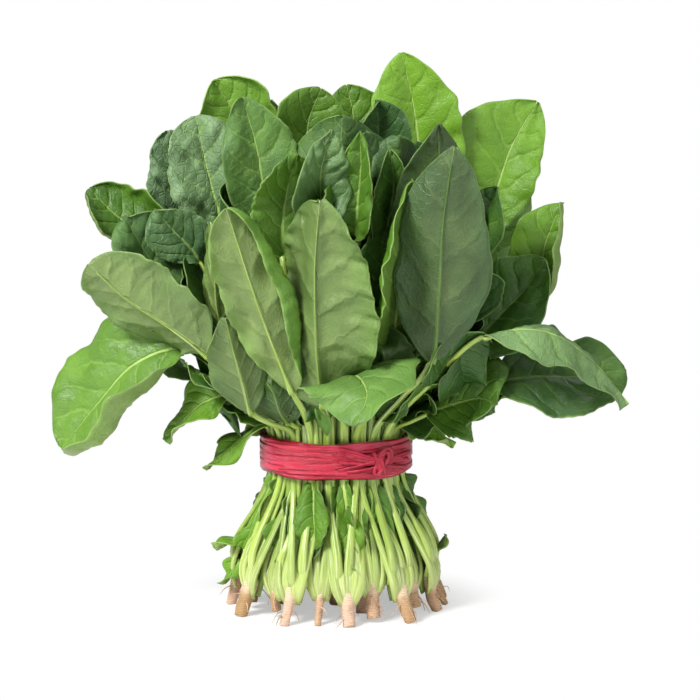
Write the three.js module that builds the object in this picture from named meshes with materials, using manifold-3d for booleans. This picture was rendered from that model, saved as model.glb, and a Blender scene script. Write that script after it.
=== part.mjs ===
// A tied bunch of spinach that stands on its own root ends.
// Millimetres, +Z up, +X to the right and -Y to the front.
// The origin is on the ground plane, under the middle of the tie.
//
// Each leaf is one solid: a stalk that rises from a crown, passes through the tie in a slot of its
// own, and opens into a thin blade. Each crown is one solid with its root, cut flat at the ground.

import * as THREE from "three";
import { mergeVertices } from "three/addons/utils/BufferGeometryUtils.js";
import Module from "manifold-3d";

const wasm = await Module();
wasm.setup();

// ---- Driving dimensions -------------------------------------------------------------------------

const TIE = { height: 84, tall: 19, thick: 2.2, halfWidth: 40, halfDepth: 33 };
const SLOTS = { halfWidth: 34, halfDepth: 27, apart: 7.8 };
const STALK = { foot: 2.9, waist: 2.1, neck: 1.9 };
const BLADE_THICKNESS = 1.3;
const MIDRIB_EXTRA = 1.1;
const GAP = 0.3;
const SMALLEST_EDGES = [0.1, 0.07, 0.04, 0.02];
const CROWN = { top: 19, radius: 6.2, apart: 5.6 };
const SKIRT_BULGE = 1.07;
const ROOT_TIP = 2.4;

// ---- Colours ------------------------------------------------------------------------------------

const LEAF_GREENS = [0x6f9a3c, 0x8aa566, 0x5f8d55, 0x7fb043, 0x4f7d48];
const ROOT_TAN = 0xc79a76;
const TIE_RED = 0xc22a48;

// ---- Leaves -------------------------------------------------------------------------------------
// How each leaf grows, in degrees and millimetres. A direction is a turn round the bunch, from the
// front (0) by the right (90) to the back (180), and a lean away from upright.
// turn, lean and stalk: where the stalk goes above the tie, and how far to the blade.
// depth: how near the rim of the tie the stalk passes (1), or its middle (0).
// way, tilt and blade: where the blade goes, and its length. It leans by droop more at its tip than
// at its neck.
// half: half the widest width. face: where the upper side looks. fold: how far the halves close.

const FRONT = [0, 75];
const BACK = [180, 75];
const UP = [0, 15];
const FORWARD_AND_UP = [0, 45];

const LEAVES = [
  { name: "leaf_front_folded_over", turn: 5, depth: 1, lean: 25, stalk: 30,
    way: 15, tilt: 100, droop: 130, blade: 70, half: 24, face: UP, fold: 10 },
  { name: "leaf_front_left", turn: -30, depth: 1, lean: 40, stalk: 35,
    way: -45, tilt: 25, droop: 5, blade: 105, half: 23, face: BACK, fold: 20 },
  { name: "leaf_front_centre", turn: -10, depth: 1, lean: 45, stalk: 30,
    way: -5, tilt: 15, droop: 5, blade: 110, half: 28, face: BACK, fold: -20 },
  { name: "leaf_front_right", turn: 45, depth: 1, lean: 45, stalk: 60,
    way: 15, tilt: 15, droop: 5, blade: 115, half: 26, face: BACK, fold: 10 },
  { name: "leaf_front_right_second", turn: 55, depth: 0.8, lean: 35, stalk: 60,
    way: 20, tilt: 10, droop: 0, blade: 115, half: 25, face: BACK, fold: 10 },
  { name: "leaf_right_arching", turn: 60, depth: 1, lean: 45, stalk: 85,
    way: 100, tilt: 120, droop: 130, blade: 100, half: 20, face: UP, fold: -30 },
  { name: "leaf_right_low_dark", turn: 70, depth: 0.95, lean: 60, stalk: 55,
    way: 95, tilt: 90, droop: 20, blade: 75, half: 28, face: FORWARD_AND_UP, fold: 5 },
  { name: "leaf_right_low_small", turn: 60, depth: 0.95, lean: 60, stalk: 25,
    way: 75, tilt: 75, droop: 10, blade: 40, half: 20, face: FORWARD_AND_UP, fold: 5 },
  { name: "leaf_right_bottom", turn: 80, depth: 0.95, lean: 75, stalk: 20,
    way: 90, tilt: 75, droop: 20, blade: 50, half: 16, face: UP, fold: 20 },
  { name: "leaf_left_drooping", turn: -65, depth: 0.95, lean: 45, stalk: 70,
    way: -100, tilt: 135, droop: 50, blade: 90, half: 30, face: FORWARD_AND_UP, fold: 5 },
  { name: "leaf_left_middle", turn: -60, depth: 1, lean: 45, stalk: 60,
    way: -85, tilt: 55, droop: 15, blade: 80, half: 28, face: [170, 65], fold: 10 },
  { name: "leaf_left_far", turn: -90, depth: 0.8, lean: 35, stalk: 110,
    way: -95, tilt: 50, droop: 20, blade: 50, half: 24, face: FRONT, fold: 10 },
  { name: "leaf_left_savoyed", turn: -80, depth: 0.6, lean: 25, stalk: 100,
    way: -85, tilt: 15, droop: 10, blade: 75, half: 22, face: FRONT, fold: 5 },
  { name: "leaf_left_savoyed_behind", turn: -100, depth: 0.7, lean: 30, stalk: 105,
    way: -100, tilt: 15, droop: 10, blade: 65, half: 20, face: FRONT, fold: 10 },
  { name: "leaf_left_small_round", turn: -70, depth: 0.75, lean: 30, stalk: 105,
    way: -80, tilt: 45, droop: 10, blade: 35, half: 16, face: FRONT, fold: 10 },
  { name: "leaf_upper_left", turn: -55, depth: 0.6, lean: 15, stalk: 105,
    way: -70, tilt: 10, droop: 10, blade: 75, half: 20, face: FRONT, fold: 10 },
  { name: "leaf_top_left", turn: -115, depth: 0.5, lean: 15, stalk: 140,
    way: -90, tilt: 15, droop: 10, blade: 50, half: 27, face: FRONT, fold: 10 },
  { name: "leaf_upper_left_centre", turn: -35, depth: 0.7, lean: 20, stalk: 100,
    way: 45, tilt: 10, droop: 5, blade: 55, half: 20, face: FRONT, fold: 10 },
  { name: "leaf_top_centre_left", turn: -115, depth: 0.3, lean: 5, stalk: 125,
    way: 130, tilt: 5, droop: 5, blade: 55, half: 25, face: FRONT, fold: 10 },
  { name: "leaf_top_centre", turn: 165, depth: 0.6, lean: 5, stalk: 130,
    way: 165, tilt: 5, droop: 5, blade: 50, half: 20, face: FRONT, fold: 10 },
  { name: "leaf_centre_savoyed", turn: -15, depth: 0.7, lean: 15, stalk: 110,
    way: 45, tilt: 10, droop: 5, blade: 55, half: 18, face: FRONT, fold: 10 },
  { name: "leaf_centre_bright", turn: 10, depth: 0.7, lean: 15, stalk: 105,
    way: 20, tilt: 15, droop: 5, blade: 60, half: 20, face: BACK, fold: 25 },
  { name: "leaf_centre_dark", turn: 50, depth: 0.4, lean: 5, stalk: 130,
    way: 50, tilt: 10, droop: 5, blade: 45, half: 20, face: FRONT, fold: 10 },
  { name: "leaf_centre_cupped", turn: 40, depth: 0.55, lean: 15, stalk: 100,
    way: 45, tilt: 10, droop: 5, blade: 55, half: 24, face: FRONT, fold: 30 },
  { name: "leaf_centre_right_folded", turn: 35, depth: 0.85, lean: 25, stalk: 55,
    way: 25, tilt: 20, droop: 10, blade: 90, half: 20, face: BACK, fold: 35 },
  { name: "leaf_top_light", turn: 110, depth: 0.5, lean: 15, stalk: 120,
    way: -90, tilt: 5, droop: 5, blade: 80, half: 26, face: FRONT, fold: 10 },
  { name: "leaf_top_right_light", turn: 100, depth: 0.75, lean: 30, stalk: 110,
    way: 100, tilt: 20, droop: 10, blade: 80, half: 27, face: FRONT, fold: 10 },
  { name: "leaf_right_dark", turn: 70, depth: 0.85, lean: 40, stalk: 75,
    way: 60, tilt: 15, droop: 5, blade: 75, half: 22, face: FRONT, fold: 10 },
  { name: "leaf_right_far_folded", turn: 85, depth: 0.9, lean: 50, stalk: 95,
    way: 95, tilt: 15, droop: 0, blade: 60, half: 20, face: FRONT, fold: 20 },
  { name: "leaf_left_narrow", turn: -60, depth: 0.9, lean: 40, stalk: 65,
    way: -20, tilt: 15, droop: 5, blade: 65, half: 13, face: BACK, fold: 30 },
  { name: "leaf_left_low_front", turn: -50, depth: 1, lean: 60, stalk: 30,
    way: -40, tilt: 25, droop: 10, blade: 55, half: 17, face: BACK, fold: 20 },
  { name: "leaf_left_low_dark", turn: -40, depth: 1, lean: 60, stalk: 25,
    way: -70, tilt: 60, droop: 10, blade: 35, half: 15, face: BACK, fold: 5 },
  { name: "leaf_left_bottom_lobed", turn: -70, depth: 0.95, lean: 50, stalk: 30,
    way: -90, tilt: 130, droop: 70, blade: 45, half: 15, face: UP, fold: 15 },
  { name: "leaf_centre_low_dark", turn: 30, depth: 0.9, lean: 40, stalk: 30,
    way: 15, tilt: 20, droop: 5, blade: 50, half: 20, face: BACK, fold: 10 },
  { name: "leaf_left_between", turn: -75, depth: 0.9, lean: 40, stalk: 75,
    way: -75, tilt: 35, droop: 10, blade: 65, half: 24, face: FRONT, fold: 10 },
  { name: "leaf_right_between", turn: 80, depth: 0.9, lean: 45, stalk: 60,
    way: 85, tilt: 45, droop: 10, blade: 65, half: 24, face: FRONT, fold: 10 },
  { name: "leaf_back_far_left", turn: -120, depth: 0.95, lean: 45, stalk: 60,
    way: -135, tilt: 55, droop: 20, blade: 65, half: 25, face: [25, 65], fold: 10 },
  { name: "leaf_back_left", turn: -140, depth: 0.95, lean: 40, stalk: 65,
    way: -155, tilt: 30, droop: 15, blade: 95, half: 27, face: [20, 70], fold: 10 },
  { name: "leaf_back_centre_left", turn: -160, depth: 0.95, lean: 25, stalk: 65,
    way: -170, tilt: 25, droop: 15, blade: 105, half: 28, face: [10, 70], fold: 10 },
  { name: "leaf_back_centre", turn: 175, depth: 0.95, lean: 35, stalk: 50,
    way: 180, tilt: 30, droop: 15, blade: 105, half: 28, face: FRONT, fold: 10 },
  { name: "leaf_back_centre_right", turn: 150, depth: 0.95, lean: 30, stalk: 65,
    way: 165, tilt: 25, droop: 15, blade: 100, half: 27, face: [-10, 70], fold: 10 },
  { name: "leaf_back_right", turn: 125, depth: 0.95, lean: 40, stalk: 70,
    way: 135, tilt: 35, droop: 15, blade: 85, half: 27, face: [-20, 65], fold: 10 },
  { name: "leaf_back_low", turn: 165, depth: 0.95, lean: 60, stalk: 30,
    way: 170, tilt: 85, droop: 70, blade: 60, half: 22, face: UP, fold: 10 },
];

// ---- Small helpers ------------------------------------------------------------------------------

// The unit direction of a turn round the bunch and a lean away from upright, in degrees.
function towards(turn, lean) {
  const round = THREE.MathUtils.degToRad(turn);
  const away = THREE.MathUtils.degToRad(lean);
  const flat = Math.sin(away);
  return new THREE.Vector3(flat * Math.sin(round), -flat * Math.cos(round), Math.cos(away));
}

function smooth(value) {
  const t = THREE.MathUtils.clamp(value, 0, 1);
  return t * t * (3 - 2 * t);
}

// Moves flat places apart, a little at a time, until none is closer than `apart` to another.
function spread(places, apart, keepInside) {
  for (let round = 0; round < 400; round += 1) {
    for (let i = 0; i < places.length; i += 1) {
      for (let j = i + 1; j < places.length; j += 1) {
        const between = places[j].clone().sub(places[i]);
        const distance = Math.max(between.length(), 0.01);
        if (distance < apart) {
          between.multiplyScalar((apart - distance) / distance / 2);
          places[j].add(between);
          places[i].sub(between);
        }
      }
    }
    places.forEach(keepInside);
  }
}

// Joins rings of equal length into one closed surface, with a flat cap on each end.
function loftRings(rings) {
  const size = rings[0].length;
  const positions = [];
  const indices = [];
  const put = (place) => positions.push(place.x, place.y, place.z) / 3 - 1;
  rings.forEach((ring) => ring.forEach(put));
  for (let r = 0; r + 1 < rings.length; r += 1) {
    for (let i = 0; i < size; i += 1) {
      const next = (i + 1) % size;
      const a = r * size + i;
      const b = r * size + next;
      indices.push(a, b, b + size, a, b + size, a + size);
    }
  }
  const caps = [[0, true], [rings.length - 1, false]];
  for (const [r, first] of caps) {
    const middle = rings[r].reduce((sum, place) => sum.add(place), new THREE.Vector3());
    const hub = put(middle.divideScalar(size));
    for (let i = 0; i < size; i += 1) {
      const a = r * size + i;
      const b = r * size + (i + 1) % size;
      if (first) indices.push(hub, b, a);
      else indices.push(hub, a, b);
    }
  }
  const geometry = new THREE.BufferGeometry();
  geometry.setAttribute("position", new THREE.Float32BufferAttribute(positions, 3));
  geometry.setIndex(indices);
  return geometry;
}

// ---- Where the stalks pass through the tie, and where they start on the crowns ---------------------

function slotPlaces() {
  const places = LEAVES.map(({ turn, depth }) => {
    const out = towards(turn, 90).multiplyScalar(depth);
    return new THREE.Vector2(out.x * SLOTS.halfWidth, out.y * SLOTS.halfDepth);
  });
  const keepInside = (place) => {
    const out = Math.hypot(place.x / SLOTS.halfWidth, place.y / SLOTS.halfDepth);
    if (out > 1) place.divideScalar(out);
  };
  spread(places, SLOTS.apart, keepInside);
  return places;
}

function crownPlaces() {
  const rings = [
    { count: 1, halfWidth: 0, halfDepth: 0, turn: 0 },
    { count: 3, halfWidth: 25, halfDepth: 20, turn: 0.5 },
    { count: 11, halfWidth: 51, halfDepth: 42, turn: 0.12 },
  ];
  return rings.flatMap(({ count, halfWidth, halfDepth, turn }) =>
    Array.from({ length: count }, (_, i) => {
      const angle = turn + (i / count) * Math.PI * 2;
      return new THREE.Vector2(halfWidth * Math.sin(angle), -halfDepth * Math.cos(angle));
    }));
}

// Each leaf grows from the crown that lies best below its slot and isn't crowded yet.
function stalkFeet(slots, crowns) {
  const crowded = 9;
  const flare = 1.45;
  const load = crowns.map(() => 0);
  const owner = slots.map((slot) => {
    const target = slot.clone().multiplyScalar(flare);
    const cost = crowns.map((crown, i) => crown.distanceTo(target) + crowded * load[i]);
    const best = cost.indexOf(Math.min(...cost));
    load[best] += 1;
    return best;
  });
  const feet = slots.map((slot, i) => {
    const crown = crowns[owner[i]];
    const toSlot = slot.clone().sub(crown).setLength(0.8);
    return crown.clone().add(toSlot);
  });
  crowns.forEach((crown, c) => {
    const mine = feet.filter((_, i) => owner[i] === c);
    spread(mine, CROWN.apart, () => {});
    const shift = mine.reduce((sum, foot) => sum.add(foot), new THREE.Vector2());
    if (mine.length) shift.divideScalar(mine.length).sub(crown);
    mine.forEach((foot) => foot.sub(shift));
  });
  return feet;
}

// ---- One leaf -------------------------------------------------------------------------------------

const STALK_STOPS = [0, 0.12, 0.26, 0.42, 0.58, 0.8];
const BLADE_STOPS = [0, 0.07, 0.2, 0.36, 0.54, 0.72, 0.87, 0.96, 1];

// The width of a blade, as a share of its widest, from its neck (0) to its tip (1).
function bladeOutline(along) {
  const widest = 0.36;
  if (along < widest) return Math.sin((along / widest) * Math.PI / 2) ** 0.7;
  return Math.max(1 - ((along - widest) / (1.01 - widest)) ** 2.4, 0) ** 0.62;
}

// The neck is the fifth of the seven places that the midrib runs through.
const NECK_SHARE = 4 / 6;

function midribCurve(leaf, slot, foot) {
  const below = new THREE.Vector3(slot.x, slot.y, TIE.height - TIE.tall / 2 - 3);
  const above = new THREE.Vector3(slot.x * 1.03, slot.y * 1.03, TIE.height + TIE.tall / 2 + 3);
  const start = new THREE.Vector3(foot.x, foot.y, CROWN.top + GAP + 0.1);
  const rise = new THREE.Vector3(foot.x * SKIRT_BULGE, foot.y * SKIRT_BULGE, CROWN.top + 14);
  const neck = above.clone().addScaledVector(towards(leaf.turn, leaf.lean), leaf.stalk);
  const lower = towards(leaf.way, leaf.tilt - leaf.droop / 4);
  const upper = towards(leaf.way, leaf.tilt + leaf.droop / 4);
  const middle = neck.clone().addScaledVector(lower, leaf.blade / 2);
  const tip = middle.clone().addScaledVector(upper, leaf.blade / 2);
  const places = [start, rise, below, above, neck, middle, tip];
  return new THREE.CatmullRomCurve3(places, false, "centripetal");
}

// The frames along a leaf: place, direction, upper side and left side, from the foot to the tip.
function leafFrames(leaf, slot, foot) {
  const curve = midribCurve(leaf, slot, foot);
  const stops = [
    ...STALK_STOPS.map((stop) => ({ share: stop * NECK_SHARE, along: 0, stalk: stop })),
    ...BLADE_STOPS.map((stop) => ({ share: NECK_SHARE + stop * (1 - NECK_SHARE), along: stop, stalk: 1 })),
  ];
  let upper = new THREE.Vector3(-slot.x, -slot.y, 0).normalize();
  const face = towards(...leaf.face);
  return stops.map(({ share, along, stalk }) => {
    const place = curve.getPoint(share);
    const ahead = curve.getTangent(share);
    if (share === 0) ahead.set(0, 0, 1);
    const turnedShare = smooth((share - 0.5) / 0.32);
    const turned = upper.clone().lerp(face, turnedShare);
    turned.addScaledVector(ahead, -turned.dot(ahead)).normalize();
    upper = upper.clone().addScaledVector(ahead, -upper.dot(ahead)).normalize();
    const left = turned.clone().cross(ahead).normalize();
    return { place, ahead, upper: turned, left, along, stalk };
  });
}

// One ring of eight places round the midrib: flat and wide in the blade, round in the stalk.
function leafRing(leaf, frame, grown) {
  const { place, upper, left, along, stalk } = frame;
  const isBlade = stalk === 1 && along > 0;
  const opened = isBlade ? bladeOutline(along) : 0;
  const fold = THREE.MathUtils.degToRad(leaf.fold) * smooth(along * 4);
  const round = THREE.MathUtils.lerp(
    THREE.MathUtils.lerp(STALK.foot, STALK.waist, smooth(stalk * 2)), STALK.neck, smooth(stalk * 2 - 1));
  const ribHalf = isBlade
    ? THREE.MathUtils.lerp(STALK.neck, BLADE_THICKNESS / 2, smooth(along * 1.4)) : round;
  const ribDeep = Math.max(ribHalf, BLADE_THICKNESS / 2 + MIDRIB_EXTRA * (1 - along) * Number(isBlade)) + grown;
  const sheet = THREE.MathUtils.lerp(round * 0.7, BLADE_THICKNESS / 2, smooth(opened * 3)) + grown;
  const reach = Math.max(leaf.half * opened, ribHalf) + grown;
  const across = reach * Math.cos(fold);
  const lift = reach * Math.sin(fold);
  const at = (a, b) => place.clone().addScaledVector(left, a).addScaledVector(upper, b);
  return [
    at(across, lift),
    at(across * 0.6, lift * 0.6 + sheet),
    at(0, isBlade ? sheet : ribDeep),
    at(-across * 0.6, lift * 0.6 + sheet),
    at(-across, lift),
    at(-across * 0.6, lift * 0.6 - sheet),
    at(0, -ribDeep),
    at(across * 0.6, lift * 0.6 - sheet),
  ];
}

function leafGeometry(leaf, slot, foot, grown = 0) {
  const frames = leafFrames(leaf, slot, foot);
  if (grown > 0) {
    frames[0].place.addScaledVector(frames[0].ahead, -grown);
    frames.at(-1).place.addScaledVector(frames.at(-1).ahead, grown);
  }
  return loftRings(frames.map((frame) => leafRing(leaf, frame, grown)));
}

// ---- Crowns and roots -----------------------------------------------------------------------------

function rootGeometry(crown, index) {
  const sides = 8;
  const lean = 0.1 + 0.05 * (index % 3);
  const profile = [
    { high: 0, radius: ROOT_TIP },
    { high: 5, radius: ROOT_TIP + 0.5 },
    { high: 10, radius: 3.6 },
    { high: 14, radius: 5.4 },
    { high: 17, radius: CROWN.radius },
    { high: CROWN.top, radius: CROWN.radius - 0.4 },
  ];
  const rings = profile.map(({ high, radius }) => {
    const out = 1 + (CROWN.top - high) / CROWN.top * lean;
    return Array.from({ length: sides }, (_, i) => {
      const angle = (i / sides) * Math.PI * 2;
      const x = crown.x * out + radius * Math.cos(angle);
      const y = crown.y * out + radius * Math.sin(angle);
      return new THREE.Vector3(x, y, high);
    });
  });
  return loftRings(rings);
}

// ---- Tie ------------------------------------------------------------------------------------------

// The band of plastic string: an oval ring with a rounded outside, closed on itself.
function tieBandGeometry(grown = 0) {
  const around = 36;
  const half = TIE.tall / 2 + grown;
  const inner = -TIE.thick - grown;
  const section = [[inner, -half], [grown - 0.4, -half], [grown, -half * 0.5], [grown, half * 0.5],
    [grown - 0.4, half], [inner, half]];
  const positions = [];
  const indices = [];
  for (let i = 0; i < around; i += 1) {
    const angle = (i / around) * Math.PI * 2;
    for (const [inset, lift] of section) {
      positions.push((TIE.halfWidth + inset) * Math.cos(angle), (TIE.halfDepth + inset) * Math.sin(angle),
        TIE.height + lift);
    }
  }
  const size = section.length;
  for (let i = 0; i < around; i += 1) {
    for (let j = 0; j < size; j += 1) {
      const a = i * size + j;
      const b = i * size + (j + 1) % size;
      const c = ((i + 1) % around) * size + j;
      const d = ((i + 1) % around) * size + (j + 1) % size;
      indices.push(a, c, d, a, d, b);
    }
  }
  const geometry = new THREE.BufferGeometry();
  geometry.setAttribute("position", new THREE.Float32BufferAttribute(positions, 3));
  geometry.setIndex(indices);
  return geometry;
}

// The knot and its tail, on the front of the band and right of its middle.
function tieKnotGeometry(grown = 0) {
  const stops = [
    { across: 17, high: -2, tall: 1.5, thick: 0.8 },
    { across: 19, high: -2, tall: 4.5, thick: 2.4 },
    { across: 23, high: -1.5, tall: 5.5, thick: 3.2 },
    { across: 27, high: -1, tall: 3.5, thick: 2.2 },
    { across: 31, high: -1, tall: 2.4, thick: 1.4 },
    { across: 36, high: -0.5, tall: 1.6, thick: 1.0 },
    { across: 41, high: 0, tall: 0.8, thick: 0.6 },
  ];
  const sides = 8;
  const rings = stops.map(({ across, high, tall, thick }) => {
    const share = Math.min(across / TIE.halfWidth, 0.97);
    const front = -TIE.halfDepth * Math.sqrt(1 - share * share) - GAP - thick - 0.4;
    return Array.from({ length: sides }, (_, i) => {
      const angle = -(i / sides) * Math.PI * 2;
      return new THREE.Vector3(across, front + (thick + grown) * Math.sin(angle),
        TIE.height + high + (tall + grown) * Math.cos(angle));
    });
  });
  return loftRings(rings);
}

// ---- Keeping the pieces apart ----------------------------------------------------------------------

function toManifold(geometry) {
  const merged = mergeVertices(geometry, 1e-4);
  return new wasm.Manifold(new wasm.Mesh({
    numProp: 3,
    vertProperties: new Float32Array(merged.getAttribute("position").array),
    triVerts: new Uint32Array(merged.getIndex().array),
  }));
}

function fromManifold(solid) {
  const mesh = solid.getMesh();
  const geometry = new THREE.BufferGeometry();
  geometry.setAttribute("position", new THREE.Float32BufferAttribute(mesh.vertProperties, 3));
  geometry.setIndex(Array.from(mesh.triVerts));
  return geometry;
}

// Joins corners nearer than `smallest` to each other, and drops the triangles that close up.
function welded(solid, smallest) {
  const geometry = mergeVertices(fromManifold(solid), smallest);
  const corners = geometry.getIndex().array;
  const kept = [];
  for (let i = 0; i < corners.length; i += 3) {
    const [a, b, c] = corners.slice(i, i + 3);
    if (a !== b && b !== c && c !== a) kept.push(a, b, c);
  }
  geometry.setIndex(kept);
  return geometry;
}

// Every edge belongs to two triangles, also after its corners are rounded to a thousandth.
function isClosed(solid) {
  const corners = welded(solid, 1e-3).getIndex().array;
  const uses = new Map();
  for (let i = 0; i < corners.length; i += 1) {
    const next = i % 3 === 2 ? i - 2 : i + 1;
    const edge = [corners[i], corners[next]].sort((a, b) => a - b).join(" ");
    uses.set(edge, (uses.get(edge) ?? 0) + 1);
  }
  return [...uses.values()].every((count) => count === 2);
}

// Takes away what a cut left thinner than the smallest edges that leave the solid closed.
function withoutSlivers(solid) {
  const tidied = SMALLEST_EDGES.map((smallest) => largestBody(toManifold(welded(solid, smallest))));
  return tidied.find(isClosed) ?? solid;
}

const largestBody = (solid) => solid.decompose().reduce((a, b) => (b.volume() > a.volume() ? b : a));

// Cuts away from a solid what would touch the solids made before it.
function cutClear(solid, box, earlier) {
  const touching = earlier.filter((other) => (
    box.intersectsBox(other.box) && solid.intersect(other.grown).volume() > 0));
  if (touching.length === 0) return solid;
  const cut = touching.reduce((rest, other) => rest.subtract(other.grown), solid);
  return withoutSlivers(largestBody(cut));
}

// ---- The bunch --------------------------------------------------------------------------------------

function boxOf(geometry) {
  geometry.computeBoundingBox();
  return geometry.boundingBox.clone();
}

function addMesh(bunch, name, geometry, colour, roughness) {
  const flat = geometry.index ? geometry.toNonIndexed() : geometry;
  flat.computeVertexNormals();
  const material = new THREE.MeshStandardMaterial({ color: colour, roughness, metalness: 0 });
  const mesh = new THREE.Mesh(flat, material);
  mesh.name = name;
  bunch.add(mesh);
}

function buildBunch() {
  const bunch = new THREE.Group();
  const crowns = crownPlaces();
  const slots = slotPlaces();
  const feet = stalkFeet(slots, crowns);
  const band = tieBandGeometry();
  addMesh(bunch, "tie_band", band, TIE_RED, 0.35);
  addMesh(bunch, "tie_knot", tieKnotGeometry(), TIE_RED, 0.35);
  crowns.forEach((crown, i) => {
    addMesh(bunch, `root_${String(i + 1).padStart(2, "0")}`, rootGeometry(crown, i), ROOT_TAN, 0.8);
  });
  const earlier = [tieBandGeometry(GAP), tieKnotGeometry(GAP)].map((geometry) => (
    { box: boxOf(geometry), grown: toManifold(geometry) }));
  LEAVES.forEach((leaf, i) => {
    const grown = leafGeometry(leaf, slots[i], feet[i], GAP);
    const box = boxOf(grown);
    const solid = cutClear(toManifold(leafGeometry(leaf, slots[i], feet[i])), box, earlier);
    earlier.push({ box, grown: toManifold(grown) });
    addMesh(bunch, leaf.name, fromManifold(solid), LEAF_GREENS[i % LEAF_GREENS.length], 0.5);
  });
  return bunch;
}

export default buildBunch();
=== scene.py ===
"""A tied bunch of spinach on its root ends: the looks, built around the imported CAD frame.

Lengths are millimetres, which MM turns into Blender's metres. Those of the stage, of bumps, and of
textures that go by the place on an object are metres. Every leaf stays where its CAD node has it: the
foot on the crown, the way through the tie, the line of the midrib and the width are all read from it.
"""

import heapq
import math

import bpy
import numpy as np
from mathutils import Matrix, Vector
from mathutils.bvhtree import BVHTree

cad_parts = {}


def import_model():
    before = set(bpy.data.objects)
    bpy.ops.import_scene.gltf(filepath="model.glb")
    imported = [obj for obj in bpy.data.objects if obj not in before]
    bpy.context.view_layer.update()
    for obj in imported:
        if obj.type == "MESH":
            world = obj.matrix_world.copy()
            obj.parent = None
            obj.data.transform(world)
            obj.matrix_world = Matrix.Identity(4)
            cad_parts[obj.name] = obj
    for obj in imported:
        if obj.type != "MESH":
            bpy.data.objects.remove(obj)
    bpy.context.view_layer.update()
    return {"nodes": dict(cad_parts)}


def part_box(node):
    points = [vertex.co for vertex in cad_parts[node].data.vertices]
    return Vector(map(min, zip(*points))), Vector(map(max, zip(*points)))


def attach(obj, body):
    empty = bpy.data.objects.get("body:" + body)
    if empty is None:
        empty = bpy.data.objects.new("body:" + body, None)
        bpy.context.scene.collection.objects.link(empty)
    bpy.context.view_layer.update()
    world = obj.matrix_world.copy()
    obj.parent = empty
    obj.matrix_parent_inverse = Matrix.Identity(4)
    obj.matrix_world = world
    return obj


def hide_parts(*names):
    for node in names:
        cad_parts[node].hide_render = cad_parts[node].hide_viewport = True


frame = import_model()

MM = 0.001
BODY = "root"

# ---- Driving dimensions ----

TIE_LOW, TIE_HIGH = (np.array(corner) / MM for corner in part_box("tie_band"))
TIE_MIDDLE = (TIE_LOW[2] + TIE_HIGH[2]) / 2
TIE_TALL = TIE_HIGH[2] - TIE_LOW[2]
TIE_HALF_WIDTH = (TIE_HIGH[0] - TIE_LOW[0]) / 2
TIE_HALF_DEPTH = (TIE_HIGH[1] - TIE_LOW[1]) / 2
CLEAR_OF_TIE = 3
ROOTS = sorted(name for name in frame["nodes"] if name.startswith("root_"))
FOOT_HALF_WIDTH, FOOT_HALF_DEPTH = 51, 42

# FAN: how far the stalks of one plant spread to each side, in radians.
# INSIDE_TIE: how far inside the tie's outline the skirt's outermost stalks pass through it.
# LEAF_SLIMMEST: half the width of a blade where it is narrowest.
# VEINS_ALONG, VEINS_CLOSEST: side veins along one half of a blade, and the least space between two.
# STALK_WIDEST: no CAD stalk reaches farther from its middle line.
# BLADE_RINGS: where the first two rings of a CAD blade stand, as shares of its length.
# STALK_RADII: at the foot, the waist and the neck of a stalk, and at the end of the midrib.
# NECK: which of a leaf's places is the neck, where its blade starts.
FAN = 0.38
INSIDE_TIE = 4.5
LEAF_THICKNESS = 0.55
LEAF_SLIMMEST = 1.2
VEINS_ALONG, VEINS_CLOSEST = 5.5, 7.5
STALK_WIDEST = 6.5
BLADE_RINGS = (0.07, 0.2)
STALK_RADII = (2.6, 2.0, 2.0, 0.35)
NECK = 5

# The strands of the tie: how far inside its outline each layer lies, how far from its edges the
# middle lines of the outermost turns run before they drift, and the thickness of a strand in the
# band, in the knot and in a loop.
BAND_INSETS = (1.7, 1.0, 0.3)
BAND_MARGIN = 2.1
BAND_THICK, KNOT_THICK, LOOP_THICK = 0.2, 0.3, 0.25

# How many of each there are.
LEAVES_INSIDE, LEAVES_LOW, SCRAPS_BEHIND = 44, 32, 22
STALKS_OF_PLANT, STALKS_BETWEEN, ROOTLETS = 9, 7, 3
BAND_LEVELS, KNOT_STRANDS, KNOT_WRAPS = 17, 12, 7

# How finely each is drawn. MIDRIB is the line that is read from a CAD leaf.
BLADE_ROWS, BLADE_COLUMNS = 68, 27
SMALL_ROWS, SMALL_COLUMNS = 30, 13
STALK_ROWS, SKIRT_ROWS, STALK_SIDES = 44, 34, 12
ROOT_ROWS, ROOT_SIDES = 30, 22
ROOTLET_ROWS, ROOTLET_SIDES = 12, 6
BAND_STEPS, KNOT_STEPS = 128, 40
MIDRIB_POINTS, MIDRIB_ROUNDS = 120, 12

# SEEDS: where each family of shapes starts its own. DRAWS: the seed of what a whole family shares.
# SEED_STEP: how far apart the textures of two leaves lie.
INSIDE_SEEDS, LOW_SEEDS, SCRAP_SEEDS = 200, 260, 300
PLANT_SEEDS, ROOT_SEEDS, BETWEEN_SEEDS = 400, 700, 900
INSIDE_DRAWS, LOW_DRAWS, SCRAP_DRAWS, BAND_DRAWS, KNOT_DRAWS = 77, 88, 66, 11, 23
SEED_STEP = 13.7
ROUND_STALK = np.arange(STALK_SIDES) / STALK_SIDES

# ---- Leaves ----

# How each leaf looks; its place and its size come from its CAD node.
# upper: roughly where the upper side looks. sides: width of the left and right half, as shares of the
# node's. fold: degrees that each half closes towards the upper side. curl: extra degrees at each
# margin. wave: how far the margin goes in and out. savoy: how far the blade is blistered between its
# veins. widest: where along the blade. tip: 0 blunt to 1 pointed. twist: degrees that the blade turns
# about its midrib. tone: 0 dark to 1 light; besides the leaf's own green it holds painted light and
# shade, light on leaves that light shines through and dark on leaves deep in the bunch. bloom: 0
# green to 1 blue-grey, the leaf's bluish cast together with a painted grey sheen. under: 0 where the
# underside is pale to 1 where it is as green as the upper side. Left is on the right of a leaf that is
# seen from below.

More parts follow.
